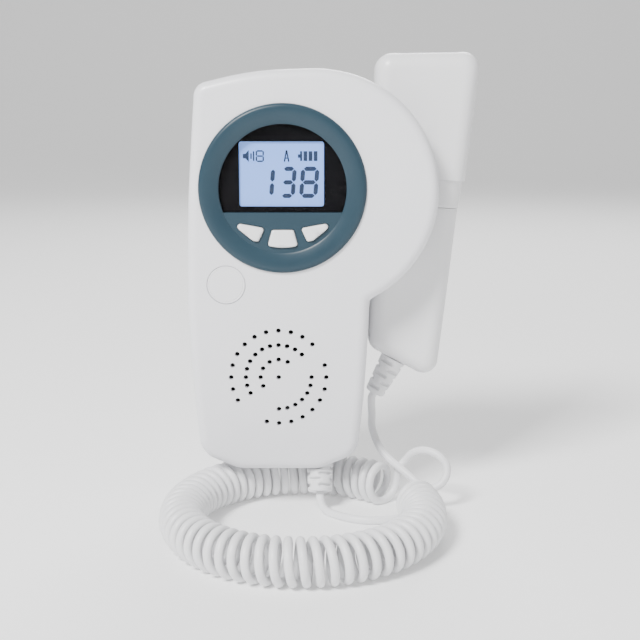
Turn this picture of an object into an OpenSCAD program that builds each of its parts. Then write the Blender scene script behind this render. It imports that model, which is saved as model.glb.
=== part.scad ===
// Fetal doppler monitor. A hand-held unit stands on its own curly cord, with the probe
// clipped into a niche at its side. Millimetres, +Z up, +Y away from the face.
// Origin: the middle of the unit's flat back.

/* [Body] */
// Height of the body
body_h = 144.8; // [140:0.2:150]
// Depth of the body, from its face to its flat back
body_d = 34; // [33.5:0.5:38]
// Width of the body at its waist
waist_w = 65.6; // [64:0.2:68]
// Width of the body across its base
base_w = 59; // [56:1:61]
// Wall thickness of the shells
wall = 2; // [1.6:0.1:2.4]
// Rounding of the front edges
front_round = 3.5; // [3:0.1:4.5]
// Rounding of the back edges
back_round = 7; // [5:0.5:7.5]
// Depth of the front shell
front_d = 17; // [16:0.5:18]

/* [Round head] */
// Radius of the round head that overhangs the probe
head_r = 42.5; // [41:0.5:43.5]
// Sideways place of the head's centre
head_x = 13.8; // [12.6:0.2:14.2]
// Depth of the head, from the face to the probe's niche
head_d = 13.8; // [13:0.2:14.4]
// Thickness of the plate that closes the head's back
dock_wall = 2; // [1.6:0.1:2.4]

/* [Dial] */
// Radius of the dial's bezel
dial_r = 29.8; // [29:0.1:30.6]
// Sideways place of the dial's centre
dial_x = 0.8; // [0.2:0.2:1.6]
// Height of the dial's centre above the origin
dial_z = 31.2; // [30:0.2:33]
// Height that the bezel stands proud of the face
bezel_proud = 1.4; // [1:0.1:2]
// Radius of the display window
window_r = 22.6; // [22:0.1:23.2]
// Distance of the window's straight edge below the dial's centre
window_cut = 8.3; // [8:0.1:8.8]
// Visible width of the liquid crystal display
lcd_w = 30; // [28:0.5:31]
// Visible height of the liquid crystal display
lcd_h = 22.8; // [21:0.2:23.4]
// Height of the display's middle above the dial's centre
lcd_up = 5.1; // [4.6:0.1:5.6]
// Thickness of the clear lens
lens_t = 1.1; // [0.9:0.1:1.3]

/* [Buttons] */
// Outer radius of the row of buttons, from the dial's centre
keys_r = 20.7; // [20:0.1:21]
// Distance of the middle button's top edge below the dial's centre
keys_top = 14.4; // [14:0.1:14.8]
// Half angle of the middle button
key_half = 15; // [14:0.5:15.5]
// Angle from the middle button's edge to its neighbours
key_gap = 10; // [9:0.5:11]
// Travel of a button
key_travel = 0.7; // [0.4:0.1:0.8]
// Height that the buttons stand proud of the dial's plate
key_proud = 0.9; // [0.6:0.1:1.2]

/* [Speaker] */
// Radius of the speaker
speaker_r = 20; // [19:0.5:20.5]
// Height of the speaker's centre above the origin
speaker_z = -37; // [-38:0.5:-36]
// Radius of one hole of the speaker grille
grille_hole_r = 0.9; // [0.5:0.1:1]
// Radius of the grille's outer circle of holes
grille_r = 17.3; // [16:0.1:17.8]

/* [Badge] */
// Radius of the round badge
badge_r = 7; // [6:0.1:7.4]
// Thickness of the badge
badge_t = 0.6; // [0.4:0.1:0.8]

/* [Battery bay] */
// Diameter of one cell
cell_d = 14.2; // [13.8:0.1:14.5]
// Length of one cell
cell_l = 50; // [49:0.1:50.5]
// Width of the battery door
door_w = 42; // [40:1:44]
// Thickness of the battery door
door_t = 2; // [1.6:0.1:2.2]
// Thickness of the bay's own walls
bay_wall = 1.2; // [1:0.1:1.4]

/* [Probe] */
// Height of the probe's head above its collar
probe_head_h = 45; // [42:0.5:47]
// Width of the probe's head at its top
probe_top_w = 37.5; // [36:0.5:39]
// Width of the probe's head at the collar
probe_mid_w = 34.2; // [33.6:0.2:35]
// Depth of the probe's head
probe_d = 19; // [18:0.2:19.4]
// Length of the probe below its head
probe_handle_h = 73.8; // [71:0.2:76]
// Width of the handle at its lower end
probe_low_w = 27.1; // [26:0.1:29]
// Lean of the probe, top to the right
probe_tilt = 4; // [3.4:0.1:4.2]
// Wall thickness of the probe's shells
probe_wall = 1.8; // [1.4:0.1:2]
// Height of the collar, which the holder's clip reaches round
collar_h = 10.2; // [9:0.2:12]

/* [Cord] */
// Diameter of the cord
cord_d = 3; // [2.9:0.1:3.1]
// Outer diameter of the curls
curl_d = 16.2; // [15.6:0.1:17]
// Number of curls
curls = 60; // [40:1:61]
// Length of the strain relief under the body
relief_l = 10.5; // [9:0.5:11]
// Length of the strain relief on the probe
probe_relief_l = 15.5; // [14:0.5:18]

/* [Hidden] */
$fn = 64;

// Clearances: a piece in its seat, pieces that move past each other, and faces laid together.
fit = 0.15;
slack = 0.3;
seam = 0.05;

// Levels along Y, from the face to the back.
y_face = -body_d;
y_split = y_face + front_d;
y_niche = y_face + head_d;
y_inner = y_face + wall;
z_base = -body_h / 2;
z_top = body_h / 2;
head_z = z_top - head_r;

// A puck about the Y axis from y0 to y1, with its two edges rounded by f0 and f1.
function corner(r, y, f, out) = f <= 0 ? [[r, y]]
    : [for (i = [0 : 4]) let (a = 22.5 * (out ? 4 - i : i))
        [r - f + f * sin(a), y + (out ? -1 : 1) * (f - f * cos(a))]];
function edge(f, r) = min(f, r - 0.3);
module puck(r, y0, y1, f0, f1, sides = 32) {
    rotate([-90, 0, 0]) rotate_extrude($fn = sides) polygon(concat([[0, y0]],
        corner(r, y0, edge(f0, r), false), corner(r, y1, edge(f1, r), true), [[0, y1]]));
}
// A flat shape drawn in X and Z, given a depth from y0 to y1.
module slab(y0, y1) { translate([0, y1, 0]) rotate([90, 0, 0]) linear_extrude(y1 - y0) children(); }
module rod_y(r, y0, y1) { translate([0, y0, 0]) rotate([-90, 0, 0]) cylinder(r = r, h = y1 - y0); }

// --- Body ------------------------------------------------------------------

// Rounded corners of the column, as [x, z, radius].
base_corner_r = 9;
foot_corner_r = 7.3;
foot_flat = 13.6;
foot_rise = 3;
side_r = 14;
// The sides bow out to the waist: height and how far inside the waist's width.
side_bow = [[28, 1.1], [8, 0.3], [-10, 0], [-28, 0.7], [-44, 1.7]];
column_x = -1;
// The top is a long shallow arc, drawn by discs of crown_r that touch it from below.
crown_r = 14;
crown_arc_r = 100;
crown_x = 4.4;
crown_turns = [-12, -6, 0, 6];
// A top corner: its distance to the side, down from the top, and its radius.
top_corner = [24, 9.3, 5.2];
column_corners = concat(
    [for (s = [-1, 1]) [s * (base_w / 2 - base_corner_r), z_base + foot_rise + base_corner_r,
        base_corner_r]],
    [for (s = [-1, 1]) [s * foot_flat, z_base + foot_corner_r, foot_corner_r]],
    [for (b = side_bow, s = [-1, 1]) [s * (waist_w / 2 - side_r - b[1]), b[0], side_r]],
    [for (a = crown_turns) [crown_x + (crown_arc_r - crown_r) * sin(a),
        z_top - crown_arc_r + (crown_arc_r - crown_r) * cos(a), crown_r]],
    [for (s = [-1, 1]) [s * top_corner[0], z_top - top_corner[1], top_corner[2]]]);
module column(inset, y0, y1, f0, f1) {
    hull() for (c = column_corners)
        translate([c[0] + column_x, 0, c[1]]) puck(c[2] - inset, y0, y1, f0, f1, 24);
}
module round_head(inset, y0, y1, f0) {
    translate([head_x, 0, head_z]) puck(head_r - inset, y0, y1, f0, 0, 96);
}

// Screw bosses that join the shells.
boss_x = 24.5;
boss_low_z = z_base + 14;
boss_high_x = 22.5;
boss_high_z = z_top - 10.5;
shell_screw_places = [for (s = [-1, 1]) each [[column_x + s * boss_x, boss_low_z],
    [column_x + s * boss_high_x, boss_high_z]]];
boss_r = 2.8;
screw_r = 1;
screw_head_r = 2;
screw_head_t = 1.4;
boss_mouth = 4;

// The dial's seat in the face.
seat_r = dial_r - 1.4;
bezel_back = y_face + 2.5;

// Posts that carry the board, outside the dial's seat.
y_board = y_face + 9;
board_t = 1.6;
board_left = -25;
board_right = 34;
board_low = -3;
board_high = 53;
board_posts = [[-21.5, 1], [26, 1], [30.5, 49]];
post_r = 2.4;

// Grille: three circles of holes, each with two open stretches, about a single middle hole.
hole_step = 15;
grille_arcs = [[grille_r, 45, 210, hole_step], [grille_r, -105, 15, hole_step],
    [grille_r * 0.69, 45, 210, hole_step], [grille_r * 0.69, -90, 0, hole_step],
    [grille_r * 0.38, 60, 210, 2 * hole_step]];
grille_holes = concat([[0, 0]], [for (a = grille_arcs, t = [a[1] : a[3] : a[2]])
    a[0] * [cos(t), sin(t)]]);
badge_x = -19.6;
badge_z = -3;

// The grommet's place in the base, leaning forward.
grommet_x = 14;
grommet_y = y_face + 8;
grommet_lean = 25;
grommet_r = 5;
grommet_neck_r = 3.4;
module at_grommet() {
    translate([grommet_x, grommet_y, z_base]) rotate([-grommet_lean, 0, 0]) children();
}

module front_shell() {
    color("whitesmoke") difference() {
        union() {
            difference() {
                union() {
                    column(0, y_face, y_split, front_round, 0);
                    round_head(0, y_face, y_niche, front_round);
                }
                column(wall, y_inner, y_split + 1, front_round - wall, 0);
                round_head(wall, y_inner, y_niche + seam, front_round - wall);
            }
            for (p = shell_screw_places)
                translate([p[0], 0, p[1]]) rod_y(boss_r, y_inner - 0.5, y_split - fit);
            for (p = board_posts)
                translate([p[0], 0, p[1]]) rod_y(post_r, y_inner - 0.5, y_board - seam);
            for (p = holder_screw_places)
                translate([p[0], 0, p[1]]) rod_y(boss_r, y_inner - 0.5, y_plate - seam);
        }
        translate([dial_x, 0, dial_z]) rod_y(seat_r, y_face - 1, y_inner + 1);
        for (h = grille_holes)
            translate([column_x + h[0], 0, speaker_z + h[1]])
                rod_y(grille_hole_r, y_face - 1, y_inner + 1);
        translate([badge_x, 0, badge_z]) rod_y(badge_r, y_face - 1, y_face + badge_t + seam);
        for (p = shell_screw_places)
            translate([p[0], 0, p[1]]) rod_y(screw_r + seam, y_split - 9, y_split + 1);
        for (p = board_posts)
            translate([p[0], 0, p[1]]) rod_y(screw_r + seam, y_board - 5, y_board + 1);
        for (p = holder_screw_places)
            translate([p[0], 0, p[1]]) rod_y(screw_r + seam, y_plate - 7, y_plate + 1);
        at_grommet() translate([0, 0, -2]) cylinder(r = grommet_neck_r + fit, h = 8);
    }
}

// Battery bay, open at the back, under the door.
bay_slack = 0.6;
contact_room = 1.5;
bay_w = 2 * cell_d + 3 * bay_slack + 2;
bay_h = cell_l + 2 * contact_room + 0.4;
bay_z = -36;
bay_d = cell_d + 1.4;
y_bay = -door_t - bay_d;
door_rim = 0.8;
door_h = bay_h + 2 * door_rim;
door_low = bay_z - door_h / 2;
hinge_y = -door_t - 0.1;
hinge_z = door_low - 0.2;
tab_places = [column_x - 14, column_x + 14];
tab_w = 4;
tab_low = 3.6;
tab_high = 2.6;
tab_t = 1.2;
tab_root = 0.9;
notch_r = 6;
notch_deep = 0.8;
// Room about the hinge for the door's foot, whose outer face swings past the shell's edge.
swing_r = door_t + 0.9;

module at_bay() { translate([column_x, 0, bay_z]) children(); }
module rear_shell() {
    color("white") difference() {
        union() {
            difference() {
                column(0, y_split, 0, 0, back_round);
                column(wall, y_split - 1, -wall, 0, back_round - wall);
            }
            at_bay() translate([-bay_w / 2 - bay_wall, y_bay - bay_wall, -bay_h / 2 - bay_wall])
                cube([bay_w + 2 * bay_wall, bay_d + bay_wall + 0.5, bay_h + 2 * bay_wall]);
            for (p = shell_screw_places)
                translate([p[0], 0, p[1]]) rod_y(boss_r, y_split + fit, -wall + 0.5);
        }
        at_bay() translate([-bay_w / 2, y_bay, -bay_h / 2]) cube([bay_w, bay_d + 10, bay_h]);
        at_bay() translate([-door_w / 2 - slack, -door_t - seam, -door_h / 2 - slack])
            cube([door_w + 2 * slack, 10, door_h + 2 * slack]);
        // room for the door's foot and tabs to swing
        translate([column_x - door_w / 2 - slack, hinge_y, hinge_z]) rotate([0, 90, 0])
            cylinder(r = swing_r, h = door_w + 2 * slack);
        for (x = tab_places) translate([x - tab_w / 2 - slack, hinge_y, hinge_z - tab_low])
            translate([0, -tab_low - 0.8, -2 * slack])
                cube([tab_w + 2 * slack, tab_low + 1.1, tab_low + tab_high + 4 * slack]);
        for (p = shell_screw_places) translate([p[0], 0, p[1]]) {
            rod_y(screw_r + 0.2, y_split - 1, 1);
            rod_y(screw_head_r + 0.2, -boss_mouth, 1);
        }
    }
}

module shell_screws() {
    color("silver") for (p = shell_screw_places) translate([p[0], 0, p[1]]) {
        rod_y(screw_r, y_split - 8, -boss_mouth);
        rod_y(screw_head_r, -boss_mouth, -boss_mouth + screw_head_t);
    }
}

module badge() {
    color("gainsboro") translate([badge_x, 0, badge_z])
        puck(badge_r - fit, y_face, y_face + badge_t, 0.2, 0, 64);
}

// --- Dial and display ------------------------------------------------------

y_plate_front = y_face - 0.2;
plate_t = 2.6;
window_lip = 1.4;
y_lens = y_face + 0.8;
y_mask = y_lens + lens_t + seam;
mask_t = 0.6;
y_lcd = y_mask + mask_t + seam;
lcd_t = 1.8;
light_t = 2.1;
lcd_side = -0.4;
lcd_border = 2;
frame_wall = 1;
strip_h = 2;
frame_w = lcd_w + 2 * lcd_border + 2 * frame_wall;
frame_h = lcd_h + 2 * lcd_border + 2 * frame_wall;

module at_dial() { translate([dial_x, 0, dial_z]) children(); }
module at_lcd() { translate([dial_x + lcd_side, 0, dial_z + lcd_up]) children(); }
// The round window with its straight lower edge.
module window_shape(r, cut) {
    intersection() {
        circle(r);
        translate([-r, -cut]) square([2 * r, cut + r]);
    }
}
function on_arc(r, a0, a1, n) = [for (i = [0 : n]) r * [cos(a0 + (a1 - a0) * i / n),
    sin(a0 + (a1 - a0) * i / n)]];
side_key_tip = 35;
side_key_edge = 90 - key_half - key_gap;
side_key_in = 15.2;
// Outlines of the buttons about the dial's centre.
module middle_key_shape() {
    side = keys_top * tan(key_half);
    polygon(concat([[-side, -keys_top]], on_arc(keys_r, -90 - key_half, -90 + key_half, 8),
        [[side, -keys_top]]));
}
module side_key_shape(s) {
    scale([s, 1]) polygon(concat(
        [side_key_in * [cos(side_key_edge), -sin(side_key_edge)]],
        on_arc(keys_r, -side_key_edge, -side_key_tip, 10)));
}
module soft_key(r) { offset(r = r, $fn = 24) offset(delta = -r) children(); }
key_corner = 0.8;

module dial_bezel() {
    outer = [[window_r, y_face + 0.6], [window_r, y_face - 0.2], [window_r + 0.6, y_face - 0.5],
        [dial_r - 3.6, y_face - bezel_proud], [dial_r - 1.8, y_face - bezel_proud],
        [dial_r - 0.5, y_face - bezel_proud + 0.5], [dial_r, y_face - 0.02],
        [seat_r - fit, y_face - 0.02], [seat_r - fit, bezel_back],
        [window_r + window_lip, bezel_back], [window_r + window_lip, y_face + 0.6]];
    color("steelblue") at_dial() difference() {
        union() {
            rotate([-90, 0, 0]) rotate_extrude($fn = 96) polygon(outer);
            slab(y_plate_front, y_plate_front + plate_t) difference() {
                circle(window_r + window_lip + 0.5, $fn = 96);
                window_shape(3 * window_r, window_cut);
            }
        }
        slab(y_lens - seam, y_face + 5) window_shape(window_r + window_lip + 0.1, window_cut + 1.2);
        slab(y_face - 5, y_face + 5) offset(delta = 0.25) soft_key(key_corner) middle_key_shape();
        for (s = [-1, 1]) slab(y_face - 5, y_face + 5)
            offset(delta = 0.25) soft_key(key_corner) side_key_shape(s);
    }
}
module display_lens() {
    color("lightcyan", 0.5) at_dial()
        slab(y_lens, y_lens + lens_t) window_shape(window_r + window_lip - 0.1, window_cut + 1);
}
module display_mask() {
    color("black") at_dial() slab(y_mask, y_mask + mask_t) difference() {
        window_shape(window_r + window_lip - 0.1, window_cut + 1);
        translate([lcd_side - lcd_w / 2, lcd_up - lcd_h / 2]) square([lcd_w, lcd_h]);
    }
}
module plate_xz(w, h, y0, y1) { translate([-w / 2, y0, -h / 2]) cube([w, y1 - y0, h]); }
module lcd_glass() {
    color("lightsteelblue") at_lcd()
        plate_xz(frame_w - 2 * frame_wall - 2 * fit, frame_h - 2 * frame_wall - 2 * fit,
            y_lcd, y_lcd + lcd_t);
}
module backlight() {
    color("aliceblue") at_lcd()
        plate_xz(frame_w - 2 * frame_wall - 2 * fit, frame_h - 2 * frame_wall - 2 * fit,
            y_lcd + lcd_t + seam, y_lcd + lcd_t + light_t);
}
module lcd_frame() {
    color("ivory") at_lcd() difference() {
        plate_xz(frame_w, frame_h, y_lcd, y_board - seam);
        plate_xz(frame_w - 2 * frame_wall, frame_h - 2 * frame_wall, y_lcd - 1, y_board + 1);
    }
}
module lcd_contact_strip() {
    color("dimgray") at_lcd() translate([0, 0, frame_h / 2 - frame_wall - strip_h])
        plate_xz(lcd_w - 4, strip_h, y_lcd + lcd_t + light_t + seam, y_board - seam);
}

// --- Buttons and board -----------------------------------------------------

key_flange = 0.8;
key_flange_t = 0.8;
key_stem_r = 1.5;
y_key_back = y_plate_front + plate_t + 0.1;
switch_w = 6;
plunger_r = 1.6;
y_switch = y_key_back + key_flange_t + 0.7 + key_travel + 0.1;
stem_places = [[-12.6, -15.4], [0, -17.5], [12.6, -15.4]];
module key(place) {
    at_dial() {
        slab(y_plate_front - key_proud, y_key_back + 0.01) soft_key(key_corner) children();
        slab(y_key_back, y_key_back + key_flange_t)
            offset(delta = key_flange) soft_key(key_corner) children();
        translate([place[0], 0, place[1]])
            rod_y(key_stem_r, y_key_back + key_flange_t - 0.01, y_switch - key_travel - 0.1);
    }
}
module button_left() { color("white") key(stem_places[0]) side_key_shape(-1); }
module button_middle() { color("white") key(stem_places[1]) middle_key_shape(); }
module button_right() { color("white") key(stem_places[2]) side_key_shape(1); }

module tact_switches() {
    color("darkslategray") at_dial() for (p = stem_places) translate([p[0], 0, p[1]]) {
        plate_xz(switch_w, switch_w, y_switch + 0.6, y_board - seam);
        rod_y(plunger_r, y_switch, y_switch + 0.7);
    }
}
module main_board() {
    color("darkgreen") difference() {
        slab(y_board, y_board + board_t) polygon([[board_left, board_low], [board_right, board_low],
            [board_right, board_high], [board_left + 5, board_high], [board_left, board_high - 8]]);
        for (p = board_posts)
            translate([p[0], 0, p[1]]) rod_y(screw_r + 0.2, y_board - 1, y_board + board_t + 1);
    }
}
chip_places = [[-8, 34, 12], [12, 22, 9], [20, 40, 7], [-14, 14, 8]];
chip_t = 1.4;
module board_chips() {
    color("dimgray") for (c = chip_places) translate([c[0], 0, c[1]])
        plate_xz(c[2], c[2], y_board + board_t + 0.02, y_board + board_t + chip_t);
}
module board_screws() {
    color("silver") for (p = board_posts) translate([p[0], 0, p[1]]) {
        rod_y(screw_r, y_board - 4.5, y_board + board_t + seam);
        rod_y(screw_head_r, y_board + board_t + seam, y_board + board_t + 1.2);
    }
}

// --- Speaker ---------------------------------------------------------------

gasket_t = 0.6;
gasket_w = 1.6;
y_speaker = y_inner + gasket_t;
basket_t = 0.9;
basket_d = 6;
magnet_r = speaker_r * 0.48;
// The magnet fills the room up to the battery bay.
magnet_room = 1.6;
magnet_t = y_bay - bay_wall - magnet_room - y_speaker - basket_d;
cone_t = 0.5;
module at_speaker() { translate([column_x, 0, speaker_z]) rotate([-90, 0, 0]) children(); }
module speaker_gasket() {
    color("black") at_speaker() rotate_extrude($fn = 96)
        translate([speaker_r - gasket_w, y_inner + 0.02]) square([gasket_w, gasket_t - 0.04]);
}
cap_r = 5;
dish_r = 7;
dish_d = 2.4;
module speaker_cone() {
    in = gasket_w + 0.3;
    mouth = y_speaker + 0.9;
    color("dimgray") at_speaker() rotate_extrude($fn = 96)
        polygon([[0, mouth], [cap_r, mouth + 0.8], [dish_r, mouth + dish_d],
            [speaker_r - in - 2, mouth], [speaker_r - in, mouth], [speaker_r - in, mouth + cone_t],
            [speaker_r - in - 1.8, mouth + cone_t], [dish_r, mouth + dish_d + 0.6],
            [cap_r - 0.4, mouth + 1.4], [0, mouth + cone_t]]);
}
module speaker_basket() {
    color("gray") at_speaker() rotate_extrude($fn = 96)
        polygon([[speaker_r - gasket_w, y_speaker], [speaker_r, y_speaker],
            [speaker_r, y_speaker + 1.6], [magnet_r + 2, y_speaker + basket_d],
            [0, y_speaker + basket_d], [0, y_speaker + basket_d - basket_t],
            [magnet_r + 1, y_speaker + basket_d - basket_t], [speaker_r - gasket_w, y_speaker + 1.5]]);
}
module speaker_magnet() {
    color("darkgray") at_speaker() translate([0, 0, y_speaker + basket_d + 0.02])
        cylinder(r = magnet_r, h = magnet_t);
}

// --- Batteries and door ----------------------------------------------------

cell_x = (cell_d + bay_slack) / 2;
cell_y = y_bay + bay_d / 2 - 0.2;
nub_r = 2.7;
nub_h = 0.8;
spring_h = contact_room - 0.1;
spring_foot_r = 5;
spring_tip_r = 3;
plate_w = 8;
plate_h = 0.5;
// Side s holds its cell nub up (s = 1) or nub down (s = -1).
module at_cell(s) {
    at_bay() translate([s * cell_x, cell_y, 0]) rotate([s > 0 ? 0 : 180, 0, 0]) children();
}
module battery_cells() {
    color("goldenrod") for (s = [-1, 1]) at_cell(s) translate([0, 0, -cell_l / 2]) {
        cylinder(d = cell_d, h = cell_l - nub_h);
        translate([0, 0, cell_l - nub_h - 0.01]) cylinder(r = nub_r, h = nub_h + 0.01);
    }
}
module battery_springs() {
    color("silver") for (s = [-1, 1]) at_cell(s) translate([0, 0, -cell_l / 2 - spring_h - seam])
        cylinder(r1 = spring_foot_r, r2 = spring_tip_r, h = spring_h);
}
module battery_plates() {
    color("silver") for (s = [-1, 1]) at_cell(s)
        translate([-plate_w / 2, -plate_w / 2, cell_l / 2 + contact_room - plate_h])
            cube([plate_w, plate_w, plate_h]);
}
module battery_door() {
    color("white") difference() {
        union() {
            intersection() {
                at_bay() translate([-door_w / 2, -door_t, -door_h / 2]) cube([door_w, door_t, door_h]);
                column(0, -3 * door_t, 0, 0, back_round);
            }
            for (x = tab_places) translate([x - tab_w / 2, hinge_y - seam - tab_t, hinge_z]) {
                translate([0, 0, -tab_low]) cube([tab_w, tab_t, tab_low + tab_high]);
                translate([0, 0, tab_root]) cube([tab_w, tab_t + 0.5, tab_high - tab_root]);
            }
        }
        // finger notch at the top edge
        at_bay() translate([0, 0, door_h / 2]) rod_y(notch_r, -notch_deep, 1);
    }
}

// --- Probe and its holder --------------------------------------------------

probe_x = 50.1;
probe_z = 34;
probe_y = y_niche + slack + probe_d / 2;
handle_in = 1.4;
side_in = 0.8;
collar_in = 1;
head_slant = 1.1;
head_corner_r = 6;
head_edge = 5.5;
module at_probe() { translate([probe_x, probe_y, probe_z]) rotate([0, probe_tilt, 0]) children(); }
module probe_hull(places, inset, half) {
    hull() for (p = places) translate([p[0], 0, p[1]])
        puck(p[2] - inset, -half + inset, half - inset, head_edge - inset, head_edge - inset, 24);
}
module above(z) { translate([-60, -60, z]) cube([120, 120, 200]); }
module between(z0, z1) { translate([-60, -60, z0]) cube([120, 120, z1 - z0]); }
head_places = [for (s = [-1, 1]) each [
    [s * (probe_top_w / 2 - head_corner_r), probe_head_h - head_corner_r + s * head_slant,
        head_corner_r],
    [s * (probe_mid_w / 2 - head_corner_r), -head_corner_r, head_corner_r]]];
probe_foot_r = 5.5;
foot_drop = 7.2;
handle_places = [
    [-probe_mid_w / 2 + side_in + probe_foot_r, head_corner_r, probe_foot_r],
    [probe_mid_w / 2 - side_in - probe_foot_r, head_corner_r, probe_foot_r],
    [-probe_low_w / 2 + probe_foot_r, -probe_handle_h + probe_foot_r + foot_drop, probe_foot_r],
    [probe_low_w / 2 - probe_foot_r, -probe_handle_h + probe_foot_r, probe_foot_r]];
handle_half = probe_d / 2 - handle_in;

face_w = 26;
face_d = 11;
face_t = 2.2;
face_corner = 4;
// The head's top, level with the table rather than square to the probe.
slant_angle = atan(head_slant / (probe_top_w / 2 - head_corner_r));
module at_face() { translate([0, 0, probe_head_h]) rotate([0, -slant_angle, 0]) children(); }
module face_shape(less) {
    offset(r = face_corner, $fn = 32)
        square([face_w - 2 * face_corner - 2 * less, face_d - 2 * face_corner - 2 * less], center = true);
}
module probe_head() {
    color("white") at_probe() difference() {
        intersection() {
            probe_hull(head_places, 0, probe_d / 2);
            above(0);
        }
        intersection() {
            probe_hull(head_places, probe_wall, probe_d / 2);
            above(-1);
        }
        at_face() translate([0, 0, -face_t]) linear_extrude(10) face_shape(0);
        at_face() translate([0, 0, -2 * face_t]) linear_extrude(10) face_shape(1);
    }
}
module probe_face() {
    color("gainsboro") at_probe() at_face() translate([0, 0, -face_t + seam])
        linear_extrude(face_t - seam) face_shape(fit);
}
crystal_r = 8;
crystal_t = 1;
crystal_gap = 0.6;
backing_h = 6;
module probe_crystals() {
    color("silver") at_probe() at_face() for (s = [-1, 1])
        translate([s * crystal_gap / 2, 0, -2 * face_t - crystal_t + 1.6])
            intersection() {
                cylinder(r = crystal_r / 2, h = crystal_t);
                translate([s > 0 ? 0 : -crystal_r, -crystal_r, -1])
                    cube([crystal_r, 2 * crystal_r, crystal_t + 2]);
            }
}
module probe_backing() {
    color("dimgray") at_probe() at_face()
        translate([0, 0, -2 * face_t - crystal_t + 1.55 - backing_h])
            cylinder(r = crystal_r / 2 + 1, h = backing_h);
}

// Posts and screws inside the handle, as heights in the probe's own frame.
probe_screw_places = [-32, -56.5];
probe_post_r = 2.6;
probe_board_low = -60;
probe_board_high = -29;
probe_board_t = 1.2;
probe_board_w = 18;
spigot_h = 4;
module handle_half_shell(front) {
    side = front ? -1 : 1;
    difference() {
        union() {
            intersection() {
                difference() {
                    probe_hull(handle_places, 0, handle_half);
                    probe_hull(handle_places, probe_wall, handle_half);
                    above(-collar_h - seam);
                }
                translate([-60, front ? -60 : seam, -100]) cube([120, front ? 60 : 60 - seam, 200]);
            }
            for (z = probe_screw_places) intersection() {
                translate([0, 0, z]) rod_y(probe_post_r,
                    front ? -handle_half + 1 : probe_board_t + 2 * seam, front ? 0 : handle_half - 1);
                probe_hull(handle_places, 0.6, handle_half);
            }
        }
        for (z = probe_screw_places) translate([0, 0, z]) {
            if (front) rod_y(screw_r + seam, -handle_half + 2.5, 1);
            else {
                rod_y(screw_r + 0.2, -1, handle_half + 1);
                rod_y(screw_head_r + 0.2, handle_half - 3, handle_half + 1);
            }
        }
        at_probe_relief() translate([0, 0, -2]) cylinder(r = relief_neck_r + fit, h = 12);
    }
}
module probe_handle_front() { color("white") at_probe() handle_half_shell(true); }
module probe_handle_back() { color("white") at_probe() handle_half_shell(false); }
module probe_board() {
    color("darkgreen") at_probe() difference() {
        translate([-probe_board_w / 2, seam, probe_board_low])
            cube([probe_board_w, probe_board_t, probe_board_high - probe_board_low]);
        for (z = probe_screw_places) translate([0, 0, z]) rod_y(screw_r + 0.2, -1, 3);
    }
}
module probe_screws() {
    color("silver") at_probe() for (z = probe_screw_places) translate([0, 0, z]) {
        rod_y(screw_r, -handle_half + 3, handle_half - 3);
        rod_y(screw_head_r, handle_half - 3, handle_half - 3 + screw_head_t);
    }
}

// The collar joins the head and the handle. Its bore carries the wires.
collar_bore_r = 5;
collar_back = handle_half - 0.2;
collar_left = -15.5;
module probe_collar() {
    color("white") at_probe() difference() {
        union() {
            intersection() {
                probe_hull(handle_places, collar_in - handle_in, handle_half);
                between(-collar_h, -seam);
                translate([collar_left, -60, -60]) cube([120, 60 + collar_back, 120]);
            }
            intersection() {
                probe_hull(handle_places, probe_wall + fit, handle_half);
                between(-collar_h - spigot_h, spigot_h);
            }
        }
        translate([0, 0, -2 * collar_h]) cylinder(r = collar_bore_r, h = 4 * collar_h);
    }
}

// The plate that closes the round head's back, with a clip that reaches behind the collar.
y_plate = y_niche - dock_wall;
plate_left = 27;
holder_screw_places = [[34, 57], [44, 12]];
clip_left = -17.4;
clip_in = collar_left - slack;
clip_end = 9;
clip_h = collar_h - 2 * slack;
module probe_holder() {
    color("gainsboro") difference() {
        union() {
            intersection() {
                translate([head_x, 0, head_z]) rod_y(head_r - wall - fit, y_plate, y_niche);
                translate([plate_left, y_plate - 1, z_base]) cube([60, dock_wall + 2, body_h]);
            }
            at_probe() translate([0, 0, -slack - clip_h]) {
                translate([clip_left, -probe_d / 2 - slack - 1, 0])
                    cube([clip_in - clip_left, probe_d + slack + 1, clip_h]);
                translate([clip_left, collar_back + slack, 0])
                    cube([clip_end - clip_left, probe_d / 2 - collar_back - slack, clip_h]);
                translate([clip_end, (collar_back + slack + probe_d / 2) / 2, 0])
                    cylinder(d = probe_d / 2 - collar_back - slack, h = clip_h, $fn = 32);
            }
        }
        for (p = holder_screw_places) translate([p[0], 0, p[1]]) {
            rod_y(screw_r + 0.2, y_plate - 1, y_niche + 1);
            rod_y(screw_head_r + 0.2, y_niche - 1, y_niche + 1);
        }
    }
}
module holder_screws() {
    color("silver") for (p = holder_screw_places) translate([p[0], 0, p[1]]) {
        rod_y(screw_r, y_plate - 6, y_niche - 1);
        rod_y(screw_head_r, y_niche - 1, y_niche - seam);
    }
}

// --- Strain reliefs --------------------------------------------------------

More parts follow.
